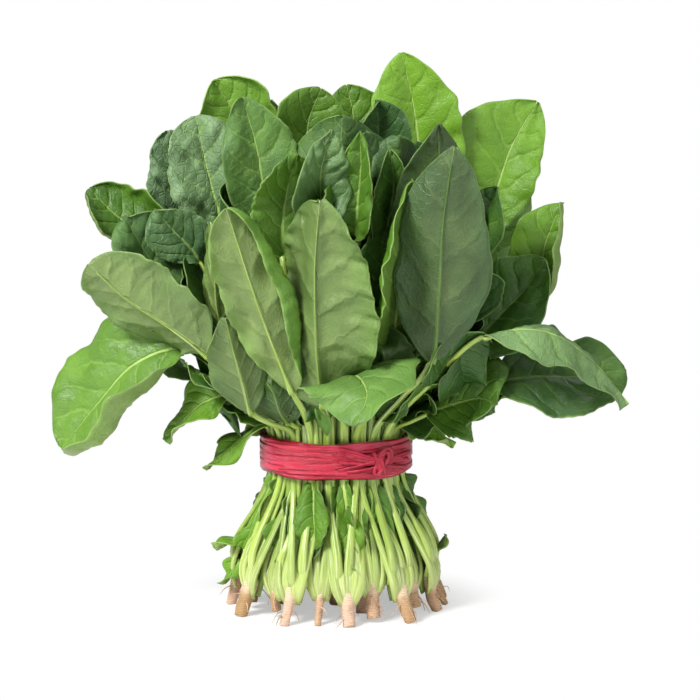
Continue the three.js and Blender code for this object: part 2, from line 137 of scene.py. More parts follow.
FRONT, BACK, UP = (0, -1, 0.25), (0, 1, 0.25), (0, -0.3, 1)
PLAIN = dict(sides=(1, 1), fold=(18, 18), curl=(0, 0), wave=2.4, savoy=0.7, widest=0.4, tip=0.5,
             twist=0, tone=0.5, bloom=0.0, under=0.0)


def leaf(name, upper, **looks):
    return dict(PLAIN, name="leaf_" + name, upper=upper, **looks)


LEAVES = [
    leaf("front_folded_over", UP, sides=(1.3, 1.25), fold=(4, 0), wave=2.6, savoy=0.3, tip=0.3, tone=0.68,
         bloom=0.3),
    leaf("front_left", BACK, sides=(1.3, 0.85), fold=(22, 4), curl=(-165, -8), savoy=1.3, widest=0.5,
         tip=0.35, tone=0.65, bloom=0.15),
    leaf("front_centre", BACK, sides=(1.4, 1.4), fold=(-16, 50), wave=4.6, savoy=1.7, widest=0.32, tip=0.3,
         tone=0.38),
    leaf("front_right", BACK, fold=(6, 16), wave=1.4, savoy=0.5, widest=0.46, tip=0.75, twist=14, tone=0.0,
         bloom=0.5),
    leaf("front_right_second", BACK, fold=(10, 10), widest=0.46, tip=0.8, twist=-12, tone=0.1, bloom=0.35),
    leaf("right_arching", UP, sides=(0.8, 0.65), fold=(-24, -30), savoy=1.0, widest=0.35, tip=1.0, tone=0.6,
         bloom=0.6),
    leaf("right_low_dark", UP, fold=(5, 5), wave=4.4, savoy=1.0, widest=0.5, tip=0.1, tone=0.12,
         bloom=0.1),
    leaf("right_low_small", UP, sides=(1.35, 1.35), fold=(5, 5), tip=0.2, tone=0.3),
    leaf("right_bottom", FRONT, fold=(20, 20), wave=4.6, tone=0.85, under=1.0),
    leaf("left_drooping", UP, sides=(1.35, 1.2), fold=(6, 6), curl=(100, 0), wave=2.8, savoy=1.4,
         widest=0.5, tip=0.1, tone=0.68, bloom=0.1),
    leaf("left_middle", BACK, fold=(14, 10), savoy=1.1, widest=0.5, tip=0.2, bloom=0.2),
    leaf("left_far", FRONT, curl=(60, 60), savoy=1.0, tip=0.2, twist=-18, tone=0.3),
    leaf("left_savoyed", FRONT, savoy=1.9, widest=0.55, tip=0.0, twist=10, tone=0.6, bloom=0.8),
    leaf("left_savoyed_behind", FRONT, savoy=1.7, tip=0.1, twist=-22, tone=0.25, bloom=0.8),
    leaf("left_small_round", FRONT, savoy=1.0, tip=0.2, twist=25, tone=0.2, bloom=0.5),
    leaf("upper_left", FRONT, fold=(20, 10), savoy=0.8, widest=0.5, twist=26, tone=0.35, bloom=0.25),
    leaf("top_left", FRONT, curl=(0, 60), tip=0.3, twist=-12, tone=1.0, bloom=0.12, under=0.6),
    leaf("upper_left_centre", FRONT, fold=(26, 6), wave=3.8, twist=-34, tone=0.35),
    leaf("top_centre_left", FRONT, fold=(10, 28), wave=3.8, tip=0.3, twist=-20),
    leaf("top_centre", FRONT, fold=(24, 10), tip=0.4, twist=12),
    leaf("centre_savoyed", FRONT, fold=(26, 18), savoy=1.6, tip=0.9, twist=-28, tone=0.35, bloom=0.5),
    leaf("centre_bright", FRONT, sides=(1.15, 0.75), fold=(30, 48), curl=(30, 20), wave=3.4, twist=24,
         tone=0.32),
    leaf("centre_dark", FRONT, fold=(30, 30), tip=0.6, twist=-30, tone=0.0, bloom=0.25),
    leaf("centre_cupped", FRONT, fold=(48, 44), curl=(25, 25), wave=3.4, tone=0.1),
    leaf("centre_right_folded", BACK, sides=(1.0, 1.7), fold=(-20, -26), curl=(0, -30), wave=3.4, tip=0.6,
         under=0.7),
    leaf("top_light", FRONT, wave=1.8, savoy=0.5, widest=0.38, tip=0.55, tone=1.0),
    leaf("top_right_light", FRONT, sides=(1.25, 0.8), savoy=0.9, widest=0.52, tip=0.8, twist=16,
         tone=0.72),
    leaf("right_dark", FRONT, savoy=0.6, tip=0.6, twist=22, tone=0.0),
    leaf("right_far_folded", FRONT, fold=(24, 34), curl=(0, 80), wave=4.6, tip=0.4, twist=22, tone=0.68),
    leaf("left_narrow", BACK, fold=(34, 34), twist=20, tone=0.66),
    leaf("left_low_front", BACK, fold=(22, 18), wave=3.4, twist=-14, tone=0.35, bloom=0.2),
    leaf("left_low_dark", BACK, sides=(1.4, 1.4), wave=3.4, tone=0.1),
    leaf("left_bottom_lobed", FRONT, fold=(15, 20), wave=5.4, tip=0.9, twist=12, tone=0.75),
    leaf("centre_low_dark", BACK, tone=0.05, bloom=0.2, under=0.4),
    leaf("left_between", FRONT, sides=(1.3, 1.3), fold=(14, 8), wave=3.4, savoy=1.0, tip=0.3, twist=-20,
         tone=0.1, bloom=0.3),
    leaf("right_between", FRONT, fold=(10, 22), wave=3.4, savoy=0.9, tip=0.3, twist=22, tone=0.05),
    leaf("back_far_left", FRONT, wave=3.2, twist=20, tone=0.45),
    leaf("back_left", FRONT, wave=3.8, savoy=1.0, twist=-25, tone=0.35, bloom=0.2),
    leaf("back_centre_left", FRONT, fold=(26, 12), wave=3.4, savoy=0.8, twist=25),
    leaf("back_centre", FRONT, wave=3.6, savoy=0.9, twist=-18, tone=0.6),
    leaf("back_centre_right", FRONT, fold=(12, 26), wave=3.8, savoy=0.9, twist=28, tone=0.25, bloom=0.2),
    leaf("back_right", FRONT, wave=3.6, twist=-22, tone=0.4),
    leaf("back_low", UP, wave=4.2, twist=15, tone=0.6),
]

# ---- Numbers and curves ----


def smooth(value):
    t = np.clip(value, 0.0, 1.0)
    return t * t * (3 - 2 * t)


def unit(vectors):
    return vectors / np.maximum(np.linalg.norm(vectors, axis=-1, keepdims=True), 1e-9)


def square_to(ahead, vectors):
    """The vectors turned square to the directions ahead."""
    return unit(vectors - ahead * (vectors * ahead).sum(-1, keepdims=True))


def turn_of(place):
    """The turn of a place round the bunch, from the front (0) to the right."""
    return math.atan2(place[0], -place[1])


def outward_at(turn):
    return np.array([math.sin(turn), -math.cos(turn), 0])


def step_lengths(points):
    return np.linalg.norm(np.diff(points, axis=0), axis=1)


def distance_along(points):
    return np.concatenate([[0], np.cumsum(step_lengths(points))])


def curve_through(places, per_span=24):
    """Points on a smooth curve through the places, and the index of each place among them."""
    places = np.array(places, float)
    spans = np.maximum(step_lengths(places), 1e-6) ** 0.5
    times = np.concatenate([[0], np.cumsum(spans)])
    slopes = np.gradient(places, times, axis=0)
    t = (np.arange(per_span) / per_span)[:, None]
    points = []
    for i in range(len(places) - 1):
        width = times[i + 1] - times[i]
        points.append((2 * t**3 - 3 * t**2 + 1) * places[i] + (t**3 - 2 * t**2 + t) * width * slopes[i]
                      + (3 * t**2 - 2 * t**3) * places[i + 1] + (t**3 - t**2) * width * slopes[i + 1])
    points.append(places[-1:])
    return np.concatenate(points), np.arange(len(places)) * per_span


def resample(points, count):
    """The same line with `count` points at equal distances, and its length."""
    reached = distance_along(points)
    wanted = np.linspace(0, reached[-1], count)
    return np.stack([np.interp(wanted, reached, points[:, k]) for k in range(3)], axis=1), reached[-1]


def curve(places, count):
    """A smooth curve through the places with `count` points at equal distances, and its length."""
    return resample(curve_through(places)[0], count)


def carried_normals(points, start):
    """The direction ahead along a line, and one square to it, carried along without twisting."""
    ahead = unit(np.gradient(points, axis=0))
    normal = np.array(start, float)
    normals = []
    for direction in ahead:
        normal = unit(normal - direction * normal.dot(direction))
        normals.append(normal)
    return ahead, np.array(normals)


def ripple(seed, *coordinates):
    """A soft, repeatable unevenness between about -1 and 1."""
    rng = np.random.default_rng(seed)
    total = 0
    for _ in range(5):
        weights = rng.normal(size=len(coordinates))
        phase = rng.uniform(0, 2 * math.pi)
        total = total + np.sin(sum(w * c for w, c in zip(weights, coordinates)) + phase)
    return total / 3


# ---- Meshes ----


def grid_faces(rows, columns, offset=0, flipped=False, around=False):
    """Quads of a grid. `around` joins the last column to the first."""
    across = columns if around else columns - 1
    row, column = np.meshgrid(np.arange(rows - 1), np.arange(across), indexing="ij")
    beside = (column + 1) % columns
    quads = np.stack([row * columns + column, row * columns + beside,
                      (row + 1) * columns + beside, (row + 1) * columns + column], axis=-1).reshape(-1, 4)
    return (quads[:, ::-1] if flipped else quads) + offset


class Sheaf:
    """Collects closed surfaces, in millimetres, with values at their corners, for one object."""

    def __init__(self):
        self.points, self.faces, self.count = [], [], 0
        self.fields = {}

    def add(self, points, *faces, **values):
        """Adds one surface. Each value holds three numbers for each of its points."""
        self.points.append(points)
        for group in faces:
            self.faces.extend((group + self.count).tolist())
        self.count += len(points)
        for field, value in values.items():
            self.fields.setdefault(field, []).append(value)

    def add_tube(self, line, ahead, normals, section, lowest=-math.inf, **values):
        """Adds a closed tube. section[row] holds the (side, up) places of that row's ring.

        Each of a value's three parts is one number, a column with one for each row, or a list with
        one for each side.
        """
        side = np.cross(normals, ahead)
        rows, sides = section.shape[:2]
        rings = line[:, None] + side[:, None] * section[..., :1] + normals[:, None] * section[..., 1:]
        points = np.concatenate([rings.reshape(-1, 3), rings[:1].mean(1), rings[-1:].mean(1)])
        points[:, 2] = np.maximum(points[:, 2], lowest)
        ring = np.arange(sides)
        after = (ring + 1) % sides
        last = (rows - 1) * sides
        hub = np.full(sides, rows * sides)
        start = np.stack([after, ring, hub], axis=1)
        end = np.stack([last + ring, last + after, hub + 1], axis=1)
        for field, parts in values.items():
            grid = np.stack([np.broadcast_to(part, (rows, sides)).ravel() for part in parts], -1)
            values[field] = np.concatenate([grid, grid[:1], grid[-1:]])
        self.add(points, grid_faces(rows, sides, around=True), start, end, **values)

    def build(self, name, look):
        """Makes the object. look is one of LOOKS."""
        material, slot = LOOKS[look]
        mesh = bpy.data.meshes.new(name)
        mesh.from_pydata((np.concatenate(self.points) * MM).tolist(), [], self.faces)
        for field, stored in self.fields.items():
            attribute = mesh.attributes.new(field, "FLOAT_VECTOR", "POINT")
            attribute.data.foreach_set("vector", np.concatenate(stored).astype(np.float32).ravel())
        mesh.shade_smooth()
        mesh.materials.append(material)
        piece = bpy.data.objects.new(name, mesh)
        bpy.context.collection.objects.link(piece)
        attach(piece, BODY)
        return piece


def lamina(points, thickness):
    """A thin closed sheet round a grid of middle points: upper grid, lower grid and the rim between."""
    rows, columns = points.shape[:2]
    normals = unit(np.cross(np.gradient(points, axis=0), np.gradient(points, axis=1)))
    shell = np.concatenate([(points + normals * thickness / 2).reshape(-1, 3),
                            (points - normals * thickness / 2).reshape(-1, 3)])
    half = rows * columns
    upper = grid_faces(rows, columns, flipped=True)
    lower = grid_faces(rows, columns, offset=half)
    rim = np.concatenate([
        np.arange(columns),
        np.arange(1, rows) * columns + columns - 1,
        (rows - 1) * columns + np.arange(columns - 2, -1, -1),
        np.arange(rows - 2, 0, -1) * columns,
    ])
    after = np.roll(rim, -1)
    band = np.stack([rim, after, after + half, rim + half], axis=1)
    return shell, np.concatenate([upper, lower, band])


def ring_angles(sides):
    return np.arange(sides) / sides * 2 * math.pi


def round_section(radii, angle):
    """Round rings for a tube, whose radii are a column, or one for each row and side."""
    return np.stack([radii * np.cos(angle), radii * np.sin(angle)], -1)


def stalk_section(radii, channel, flatness):
    """Rings of a leaf stalk, from columns or numbers: round below, a channel along the upper side."""
    angle = ring_angles(STALK_SIDES)
    hollow = np.exp(-(np.cos(angle) / 0.5) ** 2) * (np.sin(angle) > 0)
    up = radii * flatness * np.sin(angle) - radii * channel * hollow
    return np.stack([radii * np.cos(angle), up], axis=-1)


# ---- What the CAD nodes say ----


def cad_mesh(node):
    """The corners of a CAD node, in millimetres and each only once, and the edges between them."""
    mesh = frame["nodes"][node].data
    corners = np.zeros(len(mesh.vertices) * 3)
    mesh.vertices.foreach_get("co", corners)
    edges = np.zeros(len(mesh.edges) * 2, int)
    mesh.edges.foreach_get("vertices", edges)
    places, index = np.unique(np.round(corners.reshape(-1, 3) / MM, 2), axis=0, return_inverse=True)
    return places, index.reshape(-1)[edges.reshape(-1, 2)]


def cad_slice(node, height):
    """The middle of a CAD node where a level plane cuts it."""
    corners, edges = cad_mesh(node)
    first, second = corners[edges[:, 0]], corners[edges[:, 1]]
    crossing = (first[:, 2] - height) * (second[:, 2] - height) < 0
    first, second = first[crossing], second[crossing]
    share = (height - first[:, 2:]) / (second[:, 2:] - first[:, 2:])
    met = first + (second - first) * share
    return (met.min(0) + met.max(0)) / 2


def crown_top(name):
    """The middle of a crown's upper end."""
    return cad_slice(name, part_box(name)[1][2] / MM - 0.2)


def farthest_way(corners, edges):
    """The shortest way along the edges from the lowest corner to the one that is farthest from it."""
    beside = [[] for _ in corners]
    lengths = np.linalg.norm(corners[edges[:, 0]] - corners[edges[:, 1]], axis=1)
    for (first, second), long in zip(edges, lengths):
        beside[first].append((second, long))
        beside[second].append((first, long))
    start = int(corners[:, 2].argmin())
    reached, before, waiting = {start: 0.0}, {start: None}, [(0.0, start)]
    while waiting:
        gone, corner = heapq.heappop(waiting)
        if gone > reached[corner]:
            continue
        for other, long in beside[corner]:
            if gone + long < reached.get(other, math.inf):
                reached[other] = gone + long
                before[other] = corner
                heapq.heappush(waiting, (gone + long, other))
    way = [max(reached, key=reached.get)]
    while before[way[-1]] is not None:
        way.append(before[way[-1]])
    return corners[way[::-1]]


def softened(points, rounds):
    """The line with its corners rounded off, and its ends where they were."""
    for _ in range(rounds):
        points = np.concatenate([points[:1], (points[:-2] + 2 * points[1:-1] + points[2:]) / 4, points[-1:]])
    return points


def cad_leaf(node, upper):
    """Places along a CAD leaf's stalk and midrib, half its width, and where its upper side looks."""
    corners, edges = cad_mesh(node)
    midrib = resample(farthest_way(corners, edges), MIDRIB_POINTS)[0]
    midrib = resample(softened(midrib, MIDRIB_ROUNDS), MIDRIB_POINTS)[0]
    away = np.linalg.norm(corners[:, None] - midrib[None], axis=2)
    nearest = away.argmin(1)
    off_rib = away.min(1)
    half = np.percentile(off_rib, 98)
    last = MIDRIB_POINTS - 1
    above = int(np.argmax(midrib[:, 2] > TIE_HIGH[2] + CLEAR_OF_TIE))
    first_ring = nearest[(off_rib > STALK_WIDEST) & (nearest > above)].min()
    spread = off_rib[abs(nearest - first_ring) < 2].max() / half
    along = BLADE_RINGS[int(spread > 0.6)]
    neck = int((first_ring - along * last) / (1 - along))
    wide = off_rib > half * 0.55
    left = np.linalg.svd(corners[wide] - midrib[nearest[wide]])[2][0]
    face = unit(np.cross(left, unit(midrib[-1] - midrib[neck])))
    face = face * np.sign(face.dot(upper))
    stations = [(above + neck) // 2, neck, neck + (last - neck) // 3, neck + (last - neck) * 2 // 3, last]
    foot = cad_slice(node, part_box(node)[0][2] / MM + 0.5)
    slot = cad_slice(node, TIE_LOW[2] - CLEAR_OF_TIE)
    start = [foot, foot * (1.03, 1.03, 1) + (0, 0, 12), slot,
             slot * (1.03, 1.03, 0) + (0, 0, TIE_HIGH[2] + CLEAR_OF_TIE)]
    return dict(places=np.array(start + [midrib[k] for k in stations]), half=half, face=face)


# ---- Blades ----


def blade_outline(along, widest, tip, seed):
    """Width of a blade as a share of its widest, from its neck (0) to its tip (1)."""
    widest = widest + 0.05 * float(ripple(seed + 92, 1.0))
    base = np.sin(np.minimum(along / widest, 1) * math.pi / 2) ** 0.75
    past = np.clip((along - widest) / (1.002 - widest), 0, 1)
    end = (1 - past ** (2.7 - 1.0 * tip)) ** (0.5 + 0.35 * tip)
    uneven = 1 + 0.075 * ripple(seed + 90, along * 11) + 0.035 * ripple(seed + 91, along * 45)
    return np.where(along < widest, base, end) * uneven


def blade_frames(spec, line, face, start_normal, seed):
    """Along the midrib: where the upper side looks, and the side to the left."""
    ahead, carried = carried_normals(line, start_normal)
    along = np.linspace(0, 1, len(line))
    share = smooth(along / 0.3 + 0.25)[:, None]
    upper = square_to(ahead, carried * (1 - share) + face * share)
    left = np.cross(upper, ahead)
    twist = np.radians(spec["twist"] + 14 * ripple(seed + 12, along * 3))[:, None] * along[:, None]
    return upper * np.cos(twist) + left * np.sin(twist), left * np.cos(twist) - upper * np.sin(twist)


def blade_folds(spec, half, share, v, seed):
    """Lays out both halves of a blade: how far sideways, how far up, and how much of its width.

    share is the way along the blade, and v goes from one margin (-1) to the other (1).
    """
    side_place, lift, across = np.zeros((3, len(share), len(v)))
    middle = len(v) // 2
    opening = smooth(share * 5)
    for side, direction in enumerate((1, -1)):
        opened = blade_outline(share, spec["widest"], spec["tip"], seed + 7 * side)
        half_width = np.maximum(half * spec["sides"][side] * opened, LEAF_SLIMMEST)
        closing = spec["fold"][side] + 7 * ripple(seed + 60 + side, share * 2.5)
        for step in range(1, middle + 1):
            column = middle + direction * step
            inner = column - direction
            width = (abs(v[column]) - abs(v[inner])) * half_width
            reach = (abs(v[column]) + abs(v[inner])) / 2
            angle = np.radians(closing * opening * smooth(reach * 3 + 0.3)
                               + spec["curl"][side] * smooth((reach - 0.5) / 0.3) * opening)
            side_place[:, column] = side_place[:, inner] + direction * np.cos(angle) * width
            lift[:, column] = lift[:, inner] + np.sin(angle) * width
            across[:, column] = across[:, inner] + direction * width
    return side_place, lift, across


def vein_phase(along, across, reach, spacing, seed):
    """Counts the side veins from the neck: each whole number is a vein, and the halves alternate."""
    bent = along - 0.75 * np.abs(across) - 7.0 * reach ** 3
    uneven = 0.16 * ripple(seed + 40, along * 0.11, np.sign(across) * 3.0)
    return bent / spacing + 0.45 * (across > 0) + uneven


def blade_surface(spec, half, line, upper, left, columns, seed):
    """The middle surface of a blade, with the values that its material needs."""
    length = step_lengths(line).sum()
    spacing = max(length / VEINS_ALONG, VEINS_CLOSEST)
    share = np.linspace(0, 1, len(line))
    v = np.linspace(-1, 1, columns)
    v = np.sign(v) * np.abs(v) ** 1.1
    side_place, lift, across = blade_folds(spec, half, share, v, seed)
    reach = np.abs(v) * np.ones((len(line), 1))
    share = share[:, None]
    opening = smooth(share * 5)
    along = share * length + across * 0
    side_sign = np.sign(across)
    margin = spec["wave"] * reach ** 2.4 * opening
    lift = lift + margin * 0.7 * np.sin(along * 0.2 + side_sign * 1.7 + seed + ripple(seed, along * 0.05))
    lift = lift + margin * 0.6 * ripple(seed + 1, along * 0.3, side_sign * 2.0)
    lift = lift + 3.0 * ripple(seed + 2, along * 0.075, across * 0.09) * smooth(reach * 2) * opening
    phase = vein_phase(along, across, reach, spacing, seed)
    beside_vein = np.abs(np.sin(math.pi * phase))
    field = smooth(reach * 5) * smooth((1 - reach) * 4) * opening * smooth((1 - share) * 8)
    high = spec["savoy"] * min(spacing / 14, 1.0)
    pillow = high * (beside_vein ** 0.7) * field * (1 + 0.6 * ripple(seed + 4, along * 0.1, across * 0.14))
    pillow = pillow + high * 0.4 * ripple(seed + 7, along * 0.75, across * 0.8, side_sign * 2.0) * field
    rib_furrow = 0.7 * np.exp(-(across / 2.0) ** 2) * smooth((1 - share) * 3)
    lift = lift + pillow - rib_furrow
    places = line[:, None] + left[:, None] * side_place[..., None] + upper[:, None] * lift[..., None]
    values = np.stack([along, across, along * 0 + seed * SEED_STEP, phase, reach, share + reach * 0], -1)
    return places, values


def push_inside(places, outer):
    """Moves what pokes through an outer leaf back behind it, and takes its surroundings along."""
    if outer is None:
        return places
    start_out, farthest, clearance, rounds = 1.2, 14.0, 0.2, 40
    away = unit(np.stack([places[..., 0] * 0.6, places[..., 1], (places[..., 2] - TIE_MIDDLE) * 0.25], -1))
    depth = np.zeros(places.shape[:2])
    for cell in np.ndindex(depth.shape):
        origin = Vector(places[cell] + away[cell] * start_out)
        hit = outer.ray_cast(origin, Vector(-away[cell]), farthest)
        if hit[0] is not None:
            depth[cell] = hit[3] + clearance
    if not depth.any():
        return places
    spread = depth.copy()
    for _ in range(rounds):
        padded = np.pad(spread, 1, mode="edge")
        beside = padded[:-2, 1:-1] + padded[2:, 1:-1] + padded[1:-1, :-2] + padded[1:-1, 2:]
        spread = np.maximum(depth, (beside + spread) / 5)
    return places - away * spread[..., None]


def add_blade(sheaf, spec, half, line, face, start_normal, columns, seed, outer):
    """Adds a blade, and returns its middle surface and where its upper side looks along the midrib."""
    upper, left = blade_frames(spec, line, face, start_normal, seed)
    surface, values = blade_surface(spec, half, line, upper, left, columns, seed)
    surface = push_inside(surface, outer)
    points, faces = lamina(surface, LEAF_THICKNESS)
    values = np.tile(values.reshape(-1, 6), (2, 1))
    side = np.repeat([1.0, spec["under"]], len(values) // 2)
    look = np.stack([side * 0 + spec["tone"], side * 0 + spec["bloom"], side], -1)
    sheaf.add(points, faces, flat=values[:, :3], vein=values[:, 3:], look=look)
    return surface, upper


def add_small_blade(sheaf, spec, half, line, seed, outer=None):
    """Adds a small blade, which has only its spec to say where its upper side looks."""
    add_blade(sheaf, spec, half, line, spec["upper"], spec["upper"], SMALL_COLUMNS, seed, outer)


def leaf_lines(places, blade_rows):
    """The line of the stalk, and the line of the midrib that goes on from it."""
    line, at = curve_through(places)
    neck = at[NECK]
    return resample(line[:neck + 1], STALK_ROWS)[0], resample(line[neck:], blade_rows)[0]


def stalk_and_rib(spec, half, stalk_line, stalk_normals, rib_line, rib_normals, seed):
    """The stalk from the crown to the blade, and the midrib that it becomes, as one tube."""
    rib_end = 0.93
    rib_rows = int(len(rib_line) * rib_end)
    rib_share = np.linspace(0, 1, len(rib_line))[:rib_rows]
    below = rib_normals[:rib_rows] * (-0.55 - 0.5 * (1 - rib_share[:, None]))
    line = np.concatenate([stalk_line, (rib_line[:rib_rows] + below)[1:]])
    ahead = unit(np.gradient(line, axis=0))
    normals = square_to(ahead, np.concatenate([stalk_normals, rib_normals[1:rib_rows]]))
    foot, waist, neck, end = STALK_RADII
    grown = np.linspace(0, 1, len(stalk_line))
    stalk_radius = np.interp(grown, [0, 0.08, 0.4, 1], [foot * 0.9, foot, waist, neck])
    rib_radius = np.interp(rib_share, [0, 0.1, 0.35, rib_end], [neck, 0.85, 0.5, end])
    size = min(half / 22, 1.0) * 0.35 + 0.65
    radii = np.concatenate([stalk_radius, rib_radius[1:]]) * size
    radii = radii * (1 + 0.06 * ripple(seed + 3, np.arange(len(line)) * 0.25))
    on_stalk = smooth((len(stalk_line) + 4 - np.arange(len(line))) / 8)[:, None]
    section = stalk_section(radii[:, None], 0.55 * on_stalk, 0.72 + 0.1 * (1 - on_stalk))
    stalk_tone = 0.55 + 0.4 * np.random.default_rng(seed).uniform()
    tone = spec["tone"] * (1 - on_stalk) + stalk_tone * on_stalk
    sheaf = Sheaf()
    sheaf.add_tube(line, ahead, normals, section,
                   flat=(distance_along(line)[:, None], ROUND_STALK, seed * SEED_STEP),
                   look=(tone, spec["bloom"], 0))
    return sheaf


def leaf_piece(spec, seed, outer):
    """One leaf: its blade and its stalk, which goes on under the blade as the midrib."""
    name = spec["name"]
    shape = cad_leaf(name, spec["upper"])
    stalk_line, rib_line = leaf_lines(shape["places"], BLADE_ROWS)
    _, stalk_normals = carried_normals(stalk_line, unit(-1e-3 - stalk_line[0] * (1, 1, 0)))
    sheaf = Sheaf()
    surface, upper = add_blade(sheaf, spec, shape["half"], rib_line, shape["face"], stalk_normals[-1],
                               BLADE_COLUMNS, seed, outer)
    blade = sheaf.build(name + "_blade", "leaf")
    midrib = surface[:, BLADE_COLUMNS // 2]
    stalk = stalk_and_rib(spec, shape["half"], stalk_line, stalk_normals, midrib, upper, seed)
    stalk_piece = stalk.build(name + "_stalk", "stalk")
    stalk_piece.parent = blade
    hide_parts(name)
    return shape, surface


def leaves_inside(shapes, outer):
    """Leaves deep in the bunch: each grows between two that the frame holds, nearer to the middle."""
    rng = np.random.default_rng(INSIDE_DRAWS)
    ring = sorted(shapes, key=lambda shape: turn_of(shape["places"][NECK - 1]))
    sheaves = [Sheaf() for _ in range(3)]
    for k in range(LEAVES_INSIDE):
        first = k * len(ring) // LEAVES_INSIDE
        places = (ring[first]["places"] + ring[(first + 3) % len(ring)]["places"]) / 2
        inward = rng.uniform(0.55, 0.85)
        places[3:, :2] *= np.linspace(1, inward, len(places) - 3)[:, None]
        places[4:, 2] = np.maximum(places[4:, 2] + rng.uniform(-25, 10), TIE_HIGH[2] + 15)
        upper = unit(np.array([-places[6, 0], -places[6, 1], 25.0]) * rng.choice([-1, 1, 1]))
        half = rng.uniform(20, 28)
        # Their dark tone is painted shade deep in the bunch.
        spec = leaf("inside", upper, fold=rng.uniform(0, 30, 2), wave=3.0, tip=rng.uniform(0.1, 0.8),
                    tone=rng.uniform(0.0, 0.15), bloom=rng.uniform(0, 0.2), under=0.85)
        _, rib_line = leaf_lines(places, SMALL_ROWS)
        add_small_blade(sheaves[k % 3], spec, half, rib_line, INSIDE_SEEDS + k, outer)
    for k, sheaf in enumerate(sheaves):
        sheaf.build("leaves_inside_" + str(k + 1), "leaf")


def leaves_low(outer):
    """Small leaves low in the bunch, all round, which close the view between the outer stalks. Their dark
    tone is painted shade.
    """
    rng = np.random.default_rng(LOW_DRAWS)
    sheaf = Sheaf()
    for k in range(LEAVES_LOW):
        turn = 2 * math.pi * (k + rng.uniform(-0.3, 0.3)) / LEAVES_LOW
        outward = outward_at(turn)
        lean = math.radians(rng.uniform(20, 45) + 24 * math.sin(turn) ** 4)
        start = outward * (TIE_HALF_WIDTH * 0.45, TIE_HALF_DEPTH * 0.45, 0) + (0, 0, TIE_HIGH[2])
        way = outward * math.sin(lean) + (0, 0, math.cos(lean))
        long = rng.uniform(60, 78) + 12 * math.sin(turn) ** 4
        places = [start + way * long * share - (0, 0, 9 * share ** 2) for share in (0.12, 0.4, 0.7, 1)]
        spec = leaf("low", outward, fold=rng.uniform(0, 30, 2), wave=3.4, tip=rng.uniform(0.2, 0.8),
                    twist=rng.uniform(-35, 35), tone=rng.uniform(0.0, 0.3), under=0.8)
        rib_line, _ = curve(places, SMALL_ROWS)
        add_small_blade(sheaf, spec, rng.uniform(15, 21), rib_line, LOW_SEEDS + k, outer)
    sheaf.build("leaves_low", "leaf")


# ---- Skirt: the other stalks of each plant ----


def foot_share(crown):
    """How far out a crown stands, from the middle of the foot (0) to its edge (1)."""
    return math.hypot(crown[0] / FOOT_HALF_WIDTH, crown[1] / FOOT_HALF_DEPTH)


def skirt_stalks(sheaf, crown, index, count):
    """Stalks of leaves that stay hidden in the bunch: a fan, cupped at the crown, that rises to the tie."""
    rng = np.random.default_rng(PLANT_SEEDS + index)
    turn = turn_of((crown[0] / FOOT_HALF_WIDTH, crown[1] / FOOT_HALF_DEPTH))
    share = min(foot_share(crown), 1)
    outward = outward_at(turn)
    sideways = np.array([math.cos(turn), math.sin(turn), 0])
    for k in range(count):
        lean = (k + 0.5) / count * 2 - 1 + rng.uniform(-0.12, 0.12)
        front = 1 if k % 2 == 0 else -1
        foot = crown + sideways * lean * 3.2 + outward * front * rng.uniform(1.0, 2.8) + (0, 0, -8.5)
        spread = turn + FAN * lean / max(share, 0.4)
        depth = share * (0.97 + 0.03 * front) * rng.uniform(0.93, 1.0)
        slot = np.array([(TIE_HALF_WIDTH - INSIDE_TIE) * depth * math.sin(spread),
                         -(TIE_HALF_DEPTH - INSIDE_TIE) * depth * math.cos(spread), TIE_LOW[2] - 4])
        cup = crown + sideways * lean * rng.uniform(6, 8.5) + outward * front * 3.4
        cup[2] = crown[2] + rng.uniform(0, 5)
        bulge = cup * 0.55 + slot * 0.45
        bulge[:2] *= rng.uniform(0.95, 1.02)
        above = slot * (1.02, 1.02, 1) + (0, 0, TIE_TALL + 8)
        end = above * (*rng.uniform(1.05, 1.25, 2), 1) + (0, 0, rng.uniform(18, 45))
        line, length = curve([foot, cup, bulge, slot, above, end], SKIRT_ROWS)
        ahead, normals = carried_normals(line, unit(1e-3 - slot * (1, 1, 0)))
        size = rng.uniform(1.2, 2.0)
        grown = np.linspace(0, 1, SKIRT_ROWS)
        radii = np.interp(grown, [0, 0.07, 0.2, 0.4, 1], [2.0, 2.7, 2.3, 1.25 * size, 0.95 * size])
        radii = radii * (1 + 0.07 * ripple(index * 31 + k, np.arange(SKIRT_ROWS) * 0.3))
        grown = grown[:, None]
        section = stalk_section(radii[:, None], 0.5, 0.5 + 0.25 * grown)
        # Painted shade: the stalks set back among the others are darker, and those in front are lighter.
        tone = rng.uniform(0.35, 1.0) if front > 0 else rng.uniform(0.0, 0.2)
        sheaf.add_tube(line, ahead, normals, section,
                       flat=(grown * length, ROUND_STALK, index * 7 + k), look=(tone, 0, 0))


def scrap(start, end, half, tone, tip=0.2):
    """A small leaf or torn piece among the stalks, and half its width.

    start and end: a turn round the bunch in degrees, from the front to the right, the height as a
    share of the way from the ground to the tie, and how far out, as a share of the skirt's width.
    """
    return dict(start=start, end=end, half=half, tone=tone, tip=tip)


